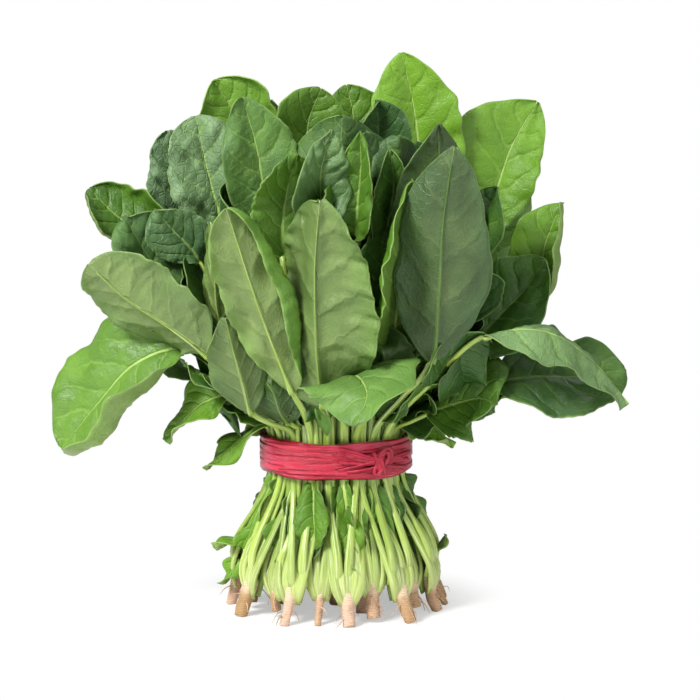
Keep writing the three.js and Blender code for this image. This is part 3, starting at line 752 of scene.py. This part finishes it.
SCRAPS = [
    scrap((-20, 1.02, 0.84), (-13, 0.52, 0.9), half=9, tone=0.5),
    scrap((6, 1.0, 0.84), (11, 0.38, 0.93), half=6.5, tone=0.7),
    scrap((32, 1.0, 0.8), (36, 0.5, 0.84), half=5, tone=0.4),
    scrap((-64, 1.0, 0.84), (-72, 0.45, 0.97), half=5, tone=0.8),
    scrap((-85, 0.5, 0.96), (-80, 0.42, 1.2), half=7, tone=0.95),
    scrap((-80, 0.35, 0.96), (-84, 0.16, 1.14), half=4, tone=0.95),
    scrap((88, 0.34, 0.96), (92, 0.5, 1.12), half=5, tone=0.8),
    scrap((-46, 0.9, 0.8), (-45, 0.35, 0.84), half=5, tone=0.5),
    scrap((58, 0.95, 0.8), (56, 0.4, 0.85), half=5, tone=0.45),
    scrap((-62, 1.5, 0.95), (-78, 1.02, 1.8), half=8, tone=0.75, tip=1.0),
    scrap((-84, 1.45, 0.95), (-88, 1.15, 1.75), half=7, tone=0.6, tip=1.0),
    scrap((76, 1.45, 0.9), (80, 1.2, 1.9), half=9, tone=1.0, tip=0.7),
    scrap((140, 1.0, 0.86), (146, 0.4, 0.96), half=7, tone=0.4),
    scrap((190, 0.95, 0.86), (186, 0.45, 0.97), half=6, tone=0.5),
    scrap((235, 1.0, 0.86), (238, 0.35, 0.96), half=7, tone=0.45),
]


def skirt_place(turn, share, out):
    """A place among the stalks: share is the height, from the ground (0) to the tie (1)."""
    angle = math.radians(turn)
    swell = math.sin(share * math.pi)
    half_width = FOOT_HALF_WIDTH + (TIE_HALF_WIDTH - FOOT_HALF_WIDTH) * share + 7 * swell
    half_depth = FOOT_HALF_DEPTH + (TIE_HALF_DEPTH - FOOT_HALF_DEPTH) * share + 6 * swell
    return np.array([half_width * out * math.sin(angle), -half_depth * out * math.cos(angle),
                     TIE_LOW[2] * share])


def skirt_scraps():
    """The scraps of the table, and more of them all round, deeper among the stalks."""
    rng = np.random.default_rng(SCRAP_DRAWS)
    sheaf = Sheaf()
    # The scraps deeper among the stalks get darker tones: painted shade.
    behind = [scrap((turn, 1.0, 0.76), (turn + rng.uniform(-9, 9), rng.uniform(0.3, 0.5), 0.84),
                    half=rng.uniform(5, 8), tone=rng.uniform(0.05, 0.45))
              for turn in np.linspace(0, 360, SCRAPS_BEHIND, endpoint=False)]
    for k, piece in enumerate(SCRAPS + behind):
        start, end = skirt_place(*piece["start"]), skirt_place(*piece["end"])
        face = unit(start * (1, 1, 0))
        line, _ = curve([start, (start + end) / 2 + face * 1.5, end], SMALL_ROWS)
        spec = leaf("scrap", face, fold=(8, -8), wave=5.2, savoy=0.8, widest=0.55,
                    tip=piece["tip"], tone=piece["tone"])
        add_small_blade(sheaf, spec, piece["half"], line, SCRAP_SEEDS + k)
    sheaf.build("skirt_scraps", "leaf")


# ---- Crowns, roots and rootlets ----


def taproot(sheaf, base, top, index, slim=1.0):
    """A crown narrowing into its trimmed taproot, wrinkled round it, with fine rootlets."""
    rng = np.random.default_rng(ROOT_SEEDS + index)
    share = np.linspace(0, 1, ROOT_ROWS)
    middle = base * 0.6 + top * 0.4 + (*rng.uniform(-1, 1, 2), 0)
    line, _ = curve([base, middle, top + (0, 0, 1.0)], ROOT_ROWS)
    ahead, normals = carried_normals(line, (0.0, -1.0, 0.0))
    thick = rng.uniform(0.75, 1.2) * slim
    radii = np.interp(share, [0, 0.25, 0.5, 0.72, 0.9, 1],
                      [3.0 * thick, 3.1 * thick, 3.2 * thick, 3.5 * thick, 4.4, 3.6])
    share = share[:, None]
    angle = ring_angles(ROOT_SIDES)
    height = share * (top[2] - base[2])
    wrinkle = (0.1 * np.sin(height * 4.2 + ripple(index, angle) * 2)
               + 0.35 * ripple(index + 50, np.cos(angle) * 2.5, np.sin(angle) * 2.5, height * 0.5))
    ring = radii[:, None] + wrinkle * smooth(share * 12) * 0.7
    sheaf.add_tube(line, ahead, normals, round_section(ring, angle), lowest=0,
                   flat=(share * 20, angle, index), look=(share, rng.uniform(0, 1), 0))
    for k in range(ROOTLETS):
        rootlet(sheaf, line, radii, rng, index * 10 + k)


def rootlet(sheaf, line, radii, rng, seed):
    """A fine root that leaves the taproot and comes down beside it."""
    row = rng.integers(3, len(line) // 2 + 4)
    turn = rng.uniform(0, 2 * math.pi)
    away = np.array([math.cos(turn), math.sin(turn), 0.0])
    start = line[row] + away * radii[row] * 0.8
    reach = rng.uniform(3, 8)
    end = start + away * reach + (0, 0, -min(start[2] - 0.4, rng.uniform(3, 9)))
    middle = (start + end) / 2 + (*rng.uniform(-1, 1, 2), rng.uniform(0, 1.5))
    path, _ = curve([start, middle, end], ROOTLET_ROWS)
    ahead, normals = carried_normals(path, (0.0, 0.3, 1.0))
    radius = np.linspace(rng.uniform(0.25, 0.5), 0.1, ROOTLET_ROWS)[:, None]
    sheaf.add_tube(path, ahead, normals, round_section(radius, ring_angles(ROOTLET_SIDES)), lowest=0.05,
                   flat=(0, 0, seed), look=(0.2, rng.uniform(0, 1), 0))


def root_piece(name, index):
    sheaf = Sheaf()
    taproot(sheaf, cad_slice(name, 0.1) * (1, 1, 0), crown_top(name), index)
    piece = sheaf.build(name + "_fine", "root")
    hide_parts(name)


def between_crowns():
    """Where more plants stand: between neighbours of the outer ring, a little further in."""
    outer = [top for top in sorted(map(crown_top, ROOTS), key=turn_of) if foot_share(top) > 0.8]
    places = [(first + second) / 2 for first, second in zip(outer, outer[1:] + outer[:1])]
    return [place * (0.93, 0.93, 1.0) + (0, 0, 1.5 * (i % 3)) for i, place in enumerate(places)]


def more_plants():
    """Plants that stand between those of the frame: their roots, and their stalks in two pieces."""
    roots = Sheaf()
    stalks = [Sheaf(), Sheaf()]
    for index, crown in enumerate(between_crowns()):
        rng = np.random.default_rng(BETWEEN_SEEDS + index)
        curved = index % 3 == 1
        out = rng.uniform(1.2, 1.32) if curved else rng.uniform(1.0, 1.1)
        base = crown * (out, out, 0) + (0, 0, 0 if curved else rng.choice([0, 0, 2, 4]))
        taproot(roots, base, crown, 40 + index, slim=0.5 if curved else 1.0)
        skirt_stalks(stalks[index % 2], crown, 60 + index, STALKS_BETWEEN)
    roots.build("roots_between", "root")
    for k, sheaf in enumerate(stalks):
        sheaf.build("stalks_between_" + str(k + 1), "stalk")


# ---- Tie ----

# The outline of a strand: across, as shares of half its width, and how far each place rises, in
# thicknesses. It has a crease along its middle.
STRAND_ACROSS = np.array([-1, -0.5, 0, 0.5, 1, 0.5, 0, -0.5])
STRAND_RISE = np.array([0, 0.8, 1.3, 0.8, 0, -0.5, -0.4, -0.5])


def oval(angle, height, inset=0.0):
    """A place on the tie: angle 0 is the front, and grows to the right."""
    return np.stack([(TIE_HALF_WIDTH - inset) * np.sin(angle), -(TIE_HALF_DEPTH - inset) * np.cos(angle),
                     height + angle * 0], -1)


def ribbon(sheaf, line, outward, width, thickness, seed, twist=0.0):
    """A flat strand along a line, its broad side facing outward."""
    ahead = unit(np.gradient(line, axis=0))
    outward = square_to(ahead, outward)
    twist = np.broadcast_to(twist, len(line))[:, None]
    outward = outward * np.cos(twist) + np.cross(outward, ahead) * np.sin(twist)
    width = np.broadcast_to(width, len(line))[:, None]
    section = np.stack([width / 2 * STRAND_ACROSS, thickness * STRAND_RISE + 0 * width], -1)
    sheaf.add_tube(line, ahead, outward, section,
                   flat=(distance_along(line)[:, None], STRAND_ACROSS, seed), look=(seed % 1.0, 0, 0))


def tie_band():
    """Many turns of flat plastic strand, one over another, round the waist of the bunch."""
    rng = np.random.default_rng(BAND_DRAWS)
    sheaf = Sheaf()
    angle = np.linspace(-math.pi, math.pi, BAND_STEPS)
    outward = oval(angle, 0.0) * (1 / TIE_HALF_WIDTH ** 2, 1 / TIE_HALF_DEPTH ** 2, 0)

    def wave(times):
        return np.sin(angle * times + rng.uniform(0, 6.28))

    for layer, inset in enumerate(BAND_INSETS):
        for k in range(BAND_LEVELS):
            level = (k + 0.5 + rng.uniform(-0.35, 0.35)) / BAND_LEVELS - 0.5
            height = TIE_MIDDLE + level * (TIE_TALL - 2 * BAND_MARGIN)
            drift = rng.uniform(-1.1, 1.1) * wave(1)
            drift = drift + rng.uniform(-0.5, 0.5) * wave(3)
            depth = inset + 0.35 * wave(2) + rng.uniform(-0.2, 0.2)
            line = oval(angle, height + drift, depth)
            line[-1] = line[0]
            width = rng.uniform(2.6, 5.0) * (1 + 0.25 * wave(5))
            twist = 0.22 * wave(rng.integers(2, 7))
            ribbon(sheaf, line, outward, width, BAND_THICK, rng.uniform(0, 1) + layer, twist)
    piece = sheaf.build("tie_band_strands", "tie")
    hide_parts("tie_band")


def knot_strands(sheaf, rng, centre, at):
    """Strands that leave the band, are gathered in the knot and spread again beyond it."""
    for k in range(KNOT_STRANDS):
        lift = rng.uniform(-7, 7)
        from_angle = np.array(at - rng.uniform(0.45, 0.75))
        to_angle = np.array(at + rng.uniform(0.35, 0.6))
        before = oval(from_angle, TIE_MIDDLE + lift, -0.4)
        tail_high = rng.uniform(-6, 5)
        after = oval(to_angle, centre[2] + tail_high, -rng.uniform(0.6, 2.0))
        waist = centre + (0, rng.uniform(-1.6, 0.6), rng.uniform(-1.8, 1.8))
        line, _ = curve([before, (before + waist) / 2 + (0, -0.8, 0), waist,
                         (after + waist) / 2 + (0, -1.0, 0), after], KNOT_STEPS)
        ribbon(sheaf, line, np.array([0.3, -1.0, 0.0]), rng.uniform(1.6, 2.6), KNOT_THICK,
               rng.uniform(0, 1) + k, 0.9 * np.sin(np.linspace(0, 5, KNOT_STEPS) + k))


def knot_wraps(sheaf, rng, centre, turn):
    """Strands wound once round the knot."""
    for k in range(KNOT_WRAPS):
        lean = rng.uniform(-0.35, 0.35)
        rise, deep = rng.uniform(4.2, 7.0), rng.uniform(2.0, 3.2)
        along = rng.uniform(-1.6, 1.6) + np.sin(turn + k) * 0.8 + lean * np.cos(turn) * rise
        line = centre + np.stack([along, -deep * np.sin(turn), rise * np.cos(turn)], -1)
        line[-1] = line[0]
        outward = np.stack([turn * 0, -np.sin(turn), np.cos(turn)], -1)
        ribbon(sheaf, line, outward, rng.uniform(1.8, 2.8), KNOT_THICK, rng.uniform(0, 1) + k)


def knot_loops(sheaf, rng, centre, turn):
    """Three small loops that stand out from the knot, two up to the right, one down to the left."""
    for k, (side, long) in enumerate(((1, 9.5), (1, 7.5), (-1, 6.5))):
        ahead = unit(np.array([side * 0.45, -0.15, side * 0.85]))
        across = np.cross(ahead, (0.0, -1.0, 0.0))
        line = (centre + (0, -2.6, 0) + ahead * long * (1 - np.cos(turn[:, None])) / 2
                + across * long * 0.28 * np.sin(turn[:, None]))
        line[-1] = line[0]
        ribbon(sheaf, line, np.array([0.2, -1.0, 0.1]), 2.2, LOOP_THICK, rng.uniform(0, 1) + k,
               0.5 * np.sin(turn + k))


def tie_knot():
    """The knot of the tie, at the front, with its loose ends and loops."""
    rng = np.random.default_rng(KNOT_DRAWS)
    low, high = (np.array(corner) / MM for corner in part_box("tie_knot"))
    centre = np.array([low[0] + 6.5, 0, (low[2] + high[2]) / 2])
    at = math.asin(centre[0] / TIE_HALF_WIDTH)
    centre[1] = oval(np.array(at), 0.0)[1] - 2.4
    turn = np.linspace(0, 2 * math.pi, KNOT_STEPS)
    sheaf = Sheaf()
    knot_strands(sheaf, rng, centre, at)
    knot_wraps(sheaf, rng, centre, turn)
    knot_loops(sheaf, rng, centre, turn)
    piece = sheaf.build("tie_knot_strands", "tie")
    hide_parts("tie_knot")


# ---- Materials ----


def srgb(red, green, blue):
    """A colour as it is seen, 0 to 255, as Blender's linear values."""
    def linear(value):
        value = value / 255
        return value / 12.92 if value <= 0.04045 else ((value + 0.055) / 1.055) ** 2.4
    return (linear(red), linear(green), linear(blue), 1.0)


WHITE = (1.0, 1.0, 1.0, 1.0)


class Nodes:
    """Short ways to add shader nodes to one material or world. A value is a number or a socket."""

    def __init__(self, owner, kind="Material"):
        self.owner = owner
        owner.use_nodes = True
        self.tree = owner.node_tree
        self.tree.nodes.clear()
        self.output = self.add("Output" + kind)

    def add(self, kind, inputs=(), **settings):
        """A new node, its settings, and what goes into its inputs, each by its name or its number."""
        node = self.tree.nodes.new("ShaderNode" + kind)
        for key, value in settings.items():
            setattr(node, key, value)
        for key, value in dict(inputs).items():
            if isinstance(value, bpy.types.NodeSocket):
                self.tree.links.new(value, node.inputs[key])
            else:
                node.inputs[key].default_value = value
        return node

    def math(self, operation, *values, clamp=False):
        return self.add("Math", enumerate(values), operation=operation, use_clamp=clamp).outputs[0]

    def plus(self, first, second):
        return self.math("ADD", first, second)

    def times(self, first, second):
        return self.math("MULTIPLY", first, second)

    def ramp(self, value, low, high, start=0.0, end=1.0):
        """Runs smoothly from start to end while the value goes from low to high."""
        inputs = enumerate((value, low, high, start, end))
        return self.add("MapRange", inputs, interpolation_type="SMOOTHSTEP").outputs[0]

    def mix(self, share, first, second):
        return self.add("Mix", {0: share, 6: first, 7: second}, data_type="RGBA").outputs[2]

    def attribute(self, name):
        """A stored attribute, and its three values."""
        vector = self.add("Attribute", attribute_name=name).outputs["Vector"]
        return vector, self.add("SeparateXYZ", {0: vector}).outputs

    def place(self):
        return self.add("TexCoord").outputs["Object"]

    def stretched(self, vector, scale):
        return self.add("Mapping", {"Vector": vector, "Scale": scale}).outputs[0]

    def noise(self, vector, scale, detail=3.0, roughness=0.55):
        inputs = {"Vector": vector, "Scale": scale, "Detail": detail, "Roughness": roughness}
        return self.add("TexNoise", inputs).outputs["Fac"]

    def net(self, vector, scale):
        """The distance to the nearest thread of a net."""
        cells = self.add("TexVoronoi", {"Vector": vector, "Scale": scale}, feature="DISTANCE_TO_EDGE")
        return cells.outputs["Distance"]

    def bump(self, height, distance, before=None):
        inputs = {"Height": height, "Distance": distance}
        if before is not None:
            inputs["Normal"] = before
        return self.add("Bump", inputs).outputs["Normal"]

    def principled(self, colour, roughness, normal, specular=0.5, **more):
        inputs = {"Base Color": colour, "Roughness": roughness, "Normal": normal,
                  "Specular IOR Level": specular, **more}
        return self.add("BsdfPrincipled", inputs).outputs[0]

    def blend(self, share, first, second):
        """A mix of two shaders."""
        return self.add("MixShader", {0: share, 1: first, 2: second}).outputs[0]

    def finish(self, shader):
        self.tree.links.new(shader, self.output.inputs["Surface"])
        return self.owner


def leaf_veins(n, flat, across, phase, reach, share):
    """How far away the nearest side vein is, and how strong the side veins and the midrib are."""
    wobble = n.times(n.math("SUBTRACT", n.noise(flat, 0.12, 2.0), 0.5), 0.5)
    counted = n.plus(n.plus(phase, wobble), 0.5)
    to_vein = n.math("ABSOLUTE", n.math("SUBTRACT", n.math("FRACT", counted), 0.5))
    half_width = n.ramp(reach, 0.0, 1.0, 0.055, 0.012)
    side_vein = n.ramp(n.math("DIVIDE", to_vein, half_width), 0.4, 1.6, 1.0, 0.0)
    side_vein = n.times(side_vein, n.ramp(reach, 0.75, 0.97, 1.0, 0.0))
    rib_width = n.ramp(share, 0.0, 1.0, 1.2, 0.2)
    rib = n.ramp(n.math("DIVIDE", n.math("ABSOLUTE", across), rib_width), 0.55, 1.25, 1.0, 0.0)
    return to_vein, side_vein, rib


def leaf_green(n, patches, speckle, tone, bloom, upper, reach):
    """The green between the veins, on the upper side and on the paler underside."""
    # The tone holds painted light and shade: high on leaves that light shines through, low on leaves deep in
    # the bunch.
    shade = n.math("ADD", tone, n.times(n.math("SUBTRACT", patches, 0.5), 1.05), clamp=True)
    top = n.mix(shade, srgb(38, 80, 20), srgb(118, 167, 38))
    # The blue-grey mixes, on the upper side and on the underside, are the leaf's bluish cast together with a
    # painted grey sheen.
    top = n.mix(bloom, top, n.mix(shade, srgb(78, 108, 80), srgb(134, 160, 122)))
    under = n.mix(shade, srgb(58, 86, 38), srgb(150, 174, 96))
    under = n.mix(n.times(bloom, 0.6), under, n.mix(shade, srgb(66, 80, 56), srgb(116, 134, 100)))
    greener = n.times(n.ramp(reach, 0.5, 1.0, 0.0, 0.55), n.ramp(patches, 0.35, 0.6, 0.4, 1.0))
    green = n.mix(n.math("MAXIMUM", upper, greener), under, top)
    return n.mix(n.times(speckle, 0.18), green, srgb(60, 96, 40))


def leaf_material():
    n = Nodes(bpy.data.materials.new("spinach_leaf"))
    flat, (_, across, _) = n.attribute("flat")
    _, (phase, reach, share) = n.attribute("vein")
    _, (tone, bloom, upper) = n.attribute("look")
    place = n.place()
    to_vein, side_vein, rib = leaf_veins(n, flat, across, phase, reach, share)
    fine = n.ramp(n.net(flat, 0.28), 0.02, 0.11, 1.0, 0.0)
    finest = n.ramp(n.net(flat, 0.85), 0.0, 0.12, 1.0, 0.0)
    patches = n.noise(place, 38.0, 4.0)
    green = leaf_green(n, patches, n.noise(place, 900.0, 2.0), tone, bloom, upper, reach)
    side_vein = n.times(side_vein, n.ramp(tone, 0.0, 0.45, 0.5, 1.0))
    vein_share = n.times(side_vein, n.ramp(upper, 0.0, 1.0, 0.2, 0.42))
    vein_share = n.math("MAXIMUM", vein_share, n.times(fine, 0.06))
    vein_share = n.math("MAXIMUM", vein_share, n.times(finest, 0.05))
    green = n.mix(vein_share, green, n.mix(upper, srgb(158, 180, 112), srgb(138, 176, 76)))
    rib = n.times(rib, n.ramp(tone, 0.0, 0.6, 0.2, 0.85))
    green = n.mix(rib, green, n.mix(upper, srgb(176, 196, 124), srgb(168, 200, 104)))
    green = n.mix(n.ramp(reach, 0.965, 1.0, 0.0, 0.4), green, srgb(156, 186, 104))
    trough = n.times(n.ramp(to_vein, 0.0, 0.2, 1.0, 0.0), n.ramp(reach, 0.7, 1.0, 1.0, 0.0))
    relief = n.plus(n.times(trough, 0.6), n.times(fine, n.ramp(bloom, 0.3, 0.9, 0.16, 0.42)))
    relief = n.plus(relief, n.times(rib, 0.9))
    relief = n.times(relief, n.ramp(upper, 0.0, 1.0, 1.0, -1.0))
    grain = n.plus(n.noise(place, 420.0, 4.0), n.times(finest, -0.4))
    normal = n.bump(grain, 0.00011, n.bump(relief, 0.0006))
    shader = n.principled(green, n.ramp(patches, 0.25, 0.7, 0.36, 0.56), normal, 0.45)
    light_green = n.mix(0.55, green, srgb(160, 205, 40))
    through = n.add("BsdfTranslucent", {"Color": light_green, "Normal": normal})
    return n.finish(n.blend(0.16, shader, through.outputs[0]))


def stalk_material():
    n = Nodes(bpy.data.materials.new("spinach_stalk"))
    flat, _ = n.attribute("flat")
    _, (tone, _, _) = n.attribute("look")
    place = n.place()
    height = n.add("SeparateXYZ", {0: place}).outputs[2]
    green = n.mix(tone, srgb(62, 100, 18), srgb(174, 199, 84))
    green = n.mix(n.times(n.noise(place, 60.0), 0.3), green, srgb(112, 150, 50))
    pale = n.times(n.ramp(height, 0.010, 0.055, 0.5, 0.0), n.ramp(tone, 0.0, 0.6, 0.25, 1.0))
    green = n.mix(pale, green, srgb(206, 214, 140))
    streaks = n.noise(n.stretched(flat, (0.02, 9.0, 1.0)), 2.2, roughness=0.5)
    # Painted highlight: near-white streaks along the stalk's striations, stronger on lighter stalks.
    highlight_streaks = n.times(n.ramp(streaks, 0.5, 0.72, 0.0, 0.6), n.ramp(tone, 0.0, 0.5, 0.2, 1.0))
    green = n.mix(highlight_streaks, green, srgb(226, 236, 188))
    green = n.mix(n.ramp(streaks, 0.25, 0.45, 0.55, 0.0), green, srgb(74, 110, 28))
    inside = {"Subsurface Weight": 0.15, "Subsurface Radius": (0.002, 0.003, 0.001),
              "Subsurface Scale": 1.0}
    return n.finish(n.principled(green, 0.28, n.bump(streaks, 0.0003), 0.55, **inside))


def root_material():
    n = Nodes(bpy.data.materials.new("spinach_root"))
    _, (height, tint, _) = n.attribute("look")
    place = n.place()
    patches = n.noise(place, 260.0, 4.0, 0.65)
    skin = n.mix(tint, srgb(172, 136, 92), srgb(224, 186, 164))
    skin = n.mix(n.ramp(height, 0.45, 0.75, 0.0, 1.0), skin, srgb(216, 190, 160))
    skin = n.mix(n.ramp(height, 0.72, 1.0, 0.0, 0.9), skin, srgb(196, 204, 140))
    skin = n.mix(n.ramp(patches, 0.48, 0.75, 0.0, 0.5), skin, srgb(132, 102, 66))
    waves = {"Vector": place, "Scale": 260.0, "Distortion": 6.0, "Detail": 2.0}
    rings = n.add("TexWave", waves, wave_type="BANDS", bands_direction="Z").outputs["Fac"]
    skin = n.mix(n.ramp(rings, 0.75, 1.0, 0.0, 0.22), skin, srgb(134, 98, 62))
    normal = n.bump(patches, 0.0003, n.bump(rings, 0.00015))
    return n.finish(n.principled(skin, 0.72, normal))


def tie_material():
    n = Nodes(bpy.data.materials.new("tie_plastic"))
    flat, _ = n.attribute("flat")
    _, (tint, _, _) = n.attribute("look")
    fibres = n.noise(n.stretched(flat, (0.04, 4.5, 1.0)), 3.0, 4.0)
    haze = n.noise(n.place(), 34.0)
    red = n.mix(tint, srgb(168, 8, 40), srgb(212, 26, 66))
    red = n.mix(n.ramp(haze, 0.5, 0.7, 0.0, 0.35), red, srgb(224, 84, 118))
    # Pale fibre streaks: the strand's fibres with a painted highlight.
    red = n.mix(n.ramp(fibres, 0.57, 0.74, 0.0, 0.7), red, srgb(240, 150, 172))
    # Dark fibre streaks: the fibres with painted shade in their creases.
    red = n.mix(n.ramp(fibres, 0.3, 0.44, 0.7, 0.0), red, srgb(104, 4, 24))
    shader = n.principled(red, 0.26, n.bump(fibres, 0.00035), 0.6)
    return n.finish(n.blend(0.12, shader, n.add("BsdfTranslucent", {"Color": red}).outputs[0]))


# The material of each look, and a slot name that nothing reads.
LOOKS = {"leaf": (leaf_material(), "leaf"), "stalk": (stalk_material(), "leaf"),
         "root": (root_material(), "root"), "tie": (tie_material(), "tie")}


# ---- Stage, light and camera, in metres ----

FLOOR_HALF = 3.0
LAMPS = [
    dict(name="key", place=(-0.7, -0.7, 0.95), aim=(0, 0, 0.15), size=0.4, watts=23),
    dict(name="fill", place=(0.8, -0.9, 0.5), aim=(0, 0, 0.12), size=0.9, watts=4.5),
    dict(name="top", place=(0.1, 0.3, 1.2), aim=(0, 0, 0.1), size=0.9, watts=6),
]
CAMERA_ELEVATION = math.radians(9)
CAMERA_DISTANCE = 1.4
CAMERA_AIM = Vector((0.00735, 0, 0.137))
SEEN_WIDTH = 0.3675
SENSOR_WIDTH = 36


def floor_material():
    """White paper near the object, fading into the white of the background."""
    n = Nodes(bpy.data.materials.new("floor_white"))
    distance = n.add("VectorMath", {0: n.place()}, operation="LENGTH").outputs["Value"]
    paper = n.add("BsdfDiffuse", {"Color": (0.93, 0.93, 0.93, 1)}).outputs[0]
    glow = n.add("Emission", {"Strength": 1.0}).outputs[0]
    fading = n.blend(n.ramp(distance, 0.05, 0.1, 0.45, 1.0), paper, glow)
    seen = n.add("LightPath").outputs["Is Camera Ray"]
    return n.finish(n.blend(seen, paper, fading))


def floor():
    mesh = bpy.data.meshes.new("floor")
    corners = [(x * FLOOR_HALF, y * FLOOR_HALF, 0) for x, y in ((-1, -1), (1, -1), (1, 1), (-1, 1))]
    mesh.from_pydata(corners, [], [(0, 1, 2, 3)])
    mesh.materials.append(floor_material())
    piece = bpy.data.objects.new("floor", mesh)
    bpy.context.collection.objects.link(piece)


def lamp(name, place, aim, size, watts):
    data = bpy.data.lights.new(name, "AREA")
    data.shape = "DISK"
    data.size = size
    data.energy = watts
    piece = bpy.data.objects.new(name, data)
    piece.location = place
    piece.rotation_euler = (Vector(aim) - Vector(place)).to_track_quat("-Z", "Y").to_euler()
    bpy.context.collection.objects.link(piece)


def world():
    """Soft white light from all round, and plain white behind the bunch."""
    n = Nodes(bpy.data.worlds.new("studio"), "World")
    soft = n.add("Background", {"Color": WHITE, "Strength": 0.32}).outputs[0]
    white = n.add("Background", {"Color": WHITE, "Strength": 1.0}).outputs[0]
    seen = n.add("LightPath").outputs["Is Camera Ray"]
    bpy.context.scene.world = n.finish(n.blend(seen, soft, white))


def camera():
    """Looks down a little, from far enough away for a flat perspective."""
    data = bpy.data.cameras.new("camera")
    data.sensor_width = SENSOR_WIDTH
    data.lens = SENSOR_WIDTH * CAMERA_DISTANCE / SEEN_WIDTH
    piece = bpy.data.objects.new("camera", data)
    back = Vector((0, -math.cos(CAMERA_ELEVATION), math.sin(CAMERA_ELEVATION)))
    piece.location = CAMERA_AIM + back * CAMERA_DISTANCE
    piece.rotation_euler = (-back).to_track_quat("-Z", "Y").to_euler()
    bpy.context.collection.objects.link(piece)
    bpy.context.scene.camera = piece


# ---- The bunch ----


def grid_tree(grids):
    """The surfaces of the leaves so far, for rays to meet."""
    points, faces, count = [], [], 0
    for grid in grids:
        points.append(grid.reshape(-1, 3))
        faces.append(grid_faces(*grid.shape[:2], offset=count))
        count += len(points[-1])
    return BVHTree.FromPolygons(np.concatenate(points).tolist(), np.concatenate(faces).tolist())


def build():
    outer, surfaces, shapes = None, [], []
    for seed, spec in enumerate(LEAVES):
        shape, surface = leaf_piece(spec, seed, outer)
        shapes.append(shape)
        surfaces.append(surface)
        outer = grid_tree(surfaces)
    leaves_inside(shapes, outer)
    leaves_low(outer)
    for index, name in enumerate(ROOTS):
        sheaf = Sheaf()
        skirt_stalks(sheaf, crown_top(name), index, STALKS_OF_PLANT)
        sheaf.build("stalks_" + name, "stalk")
        root_piece(name, index)
    more_plants()
    skirt_scraps()
    tie_band()
    tie_knot()


build()
floor()
world()
for row in LAMPS:
    lamp(**row)
camera()
bpy.context.scene.view_settings.view_transform = "Standard"
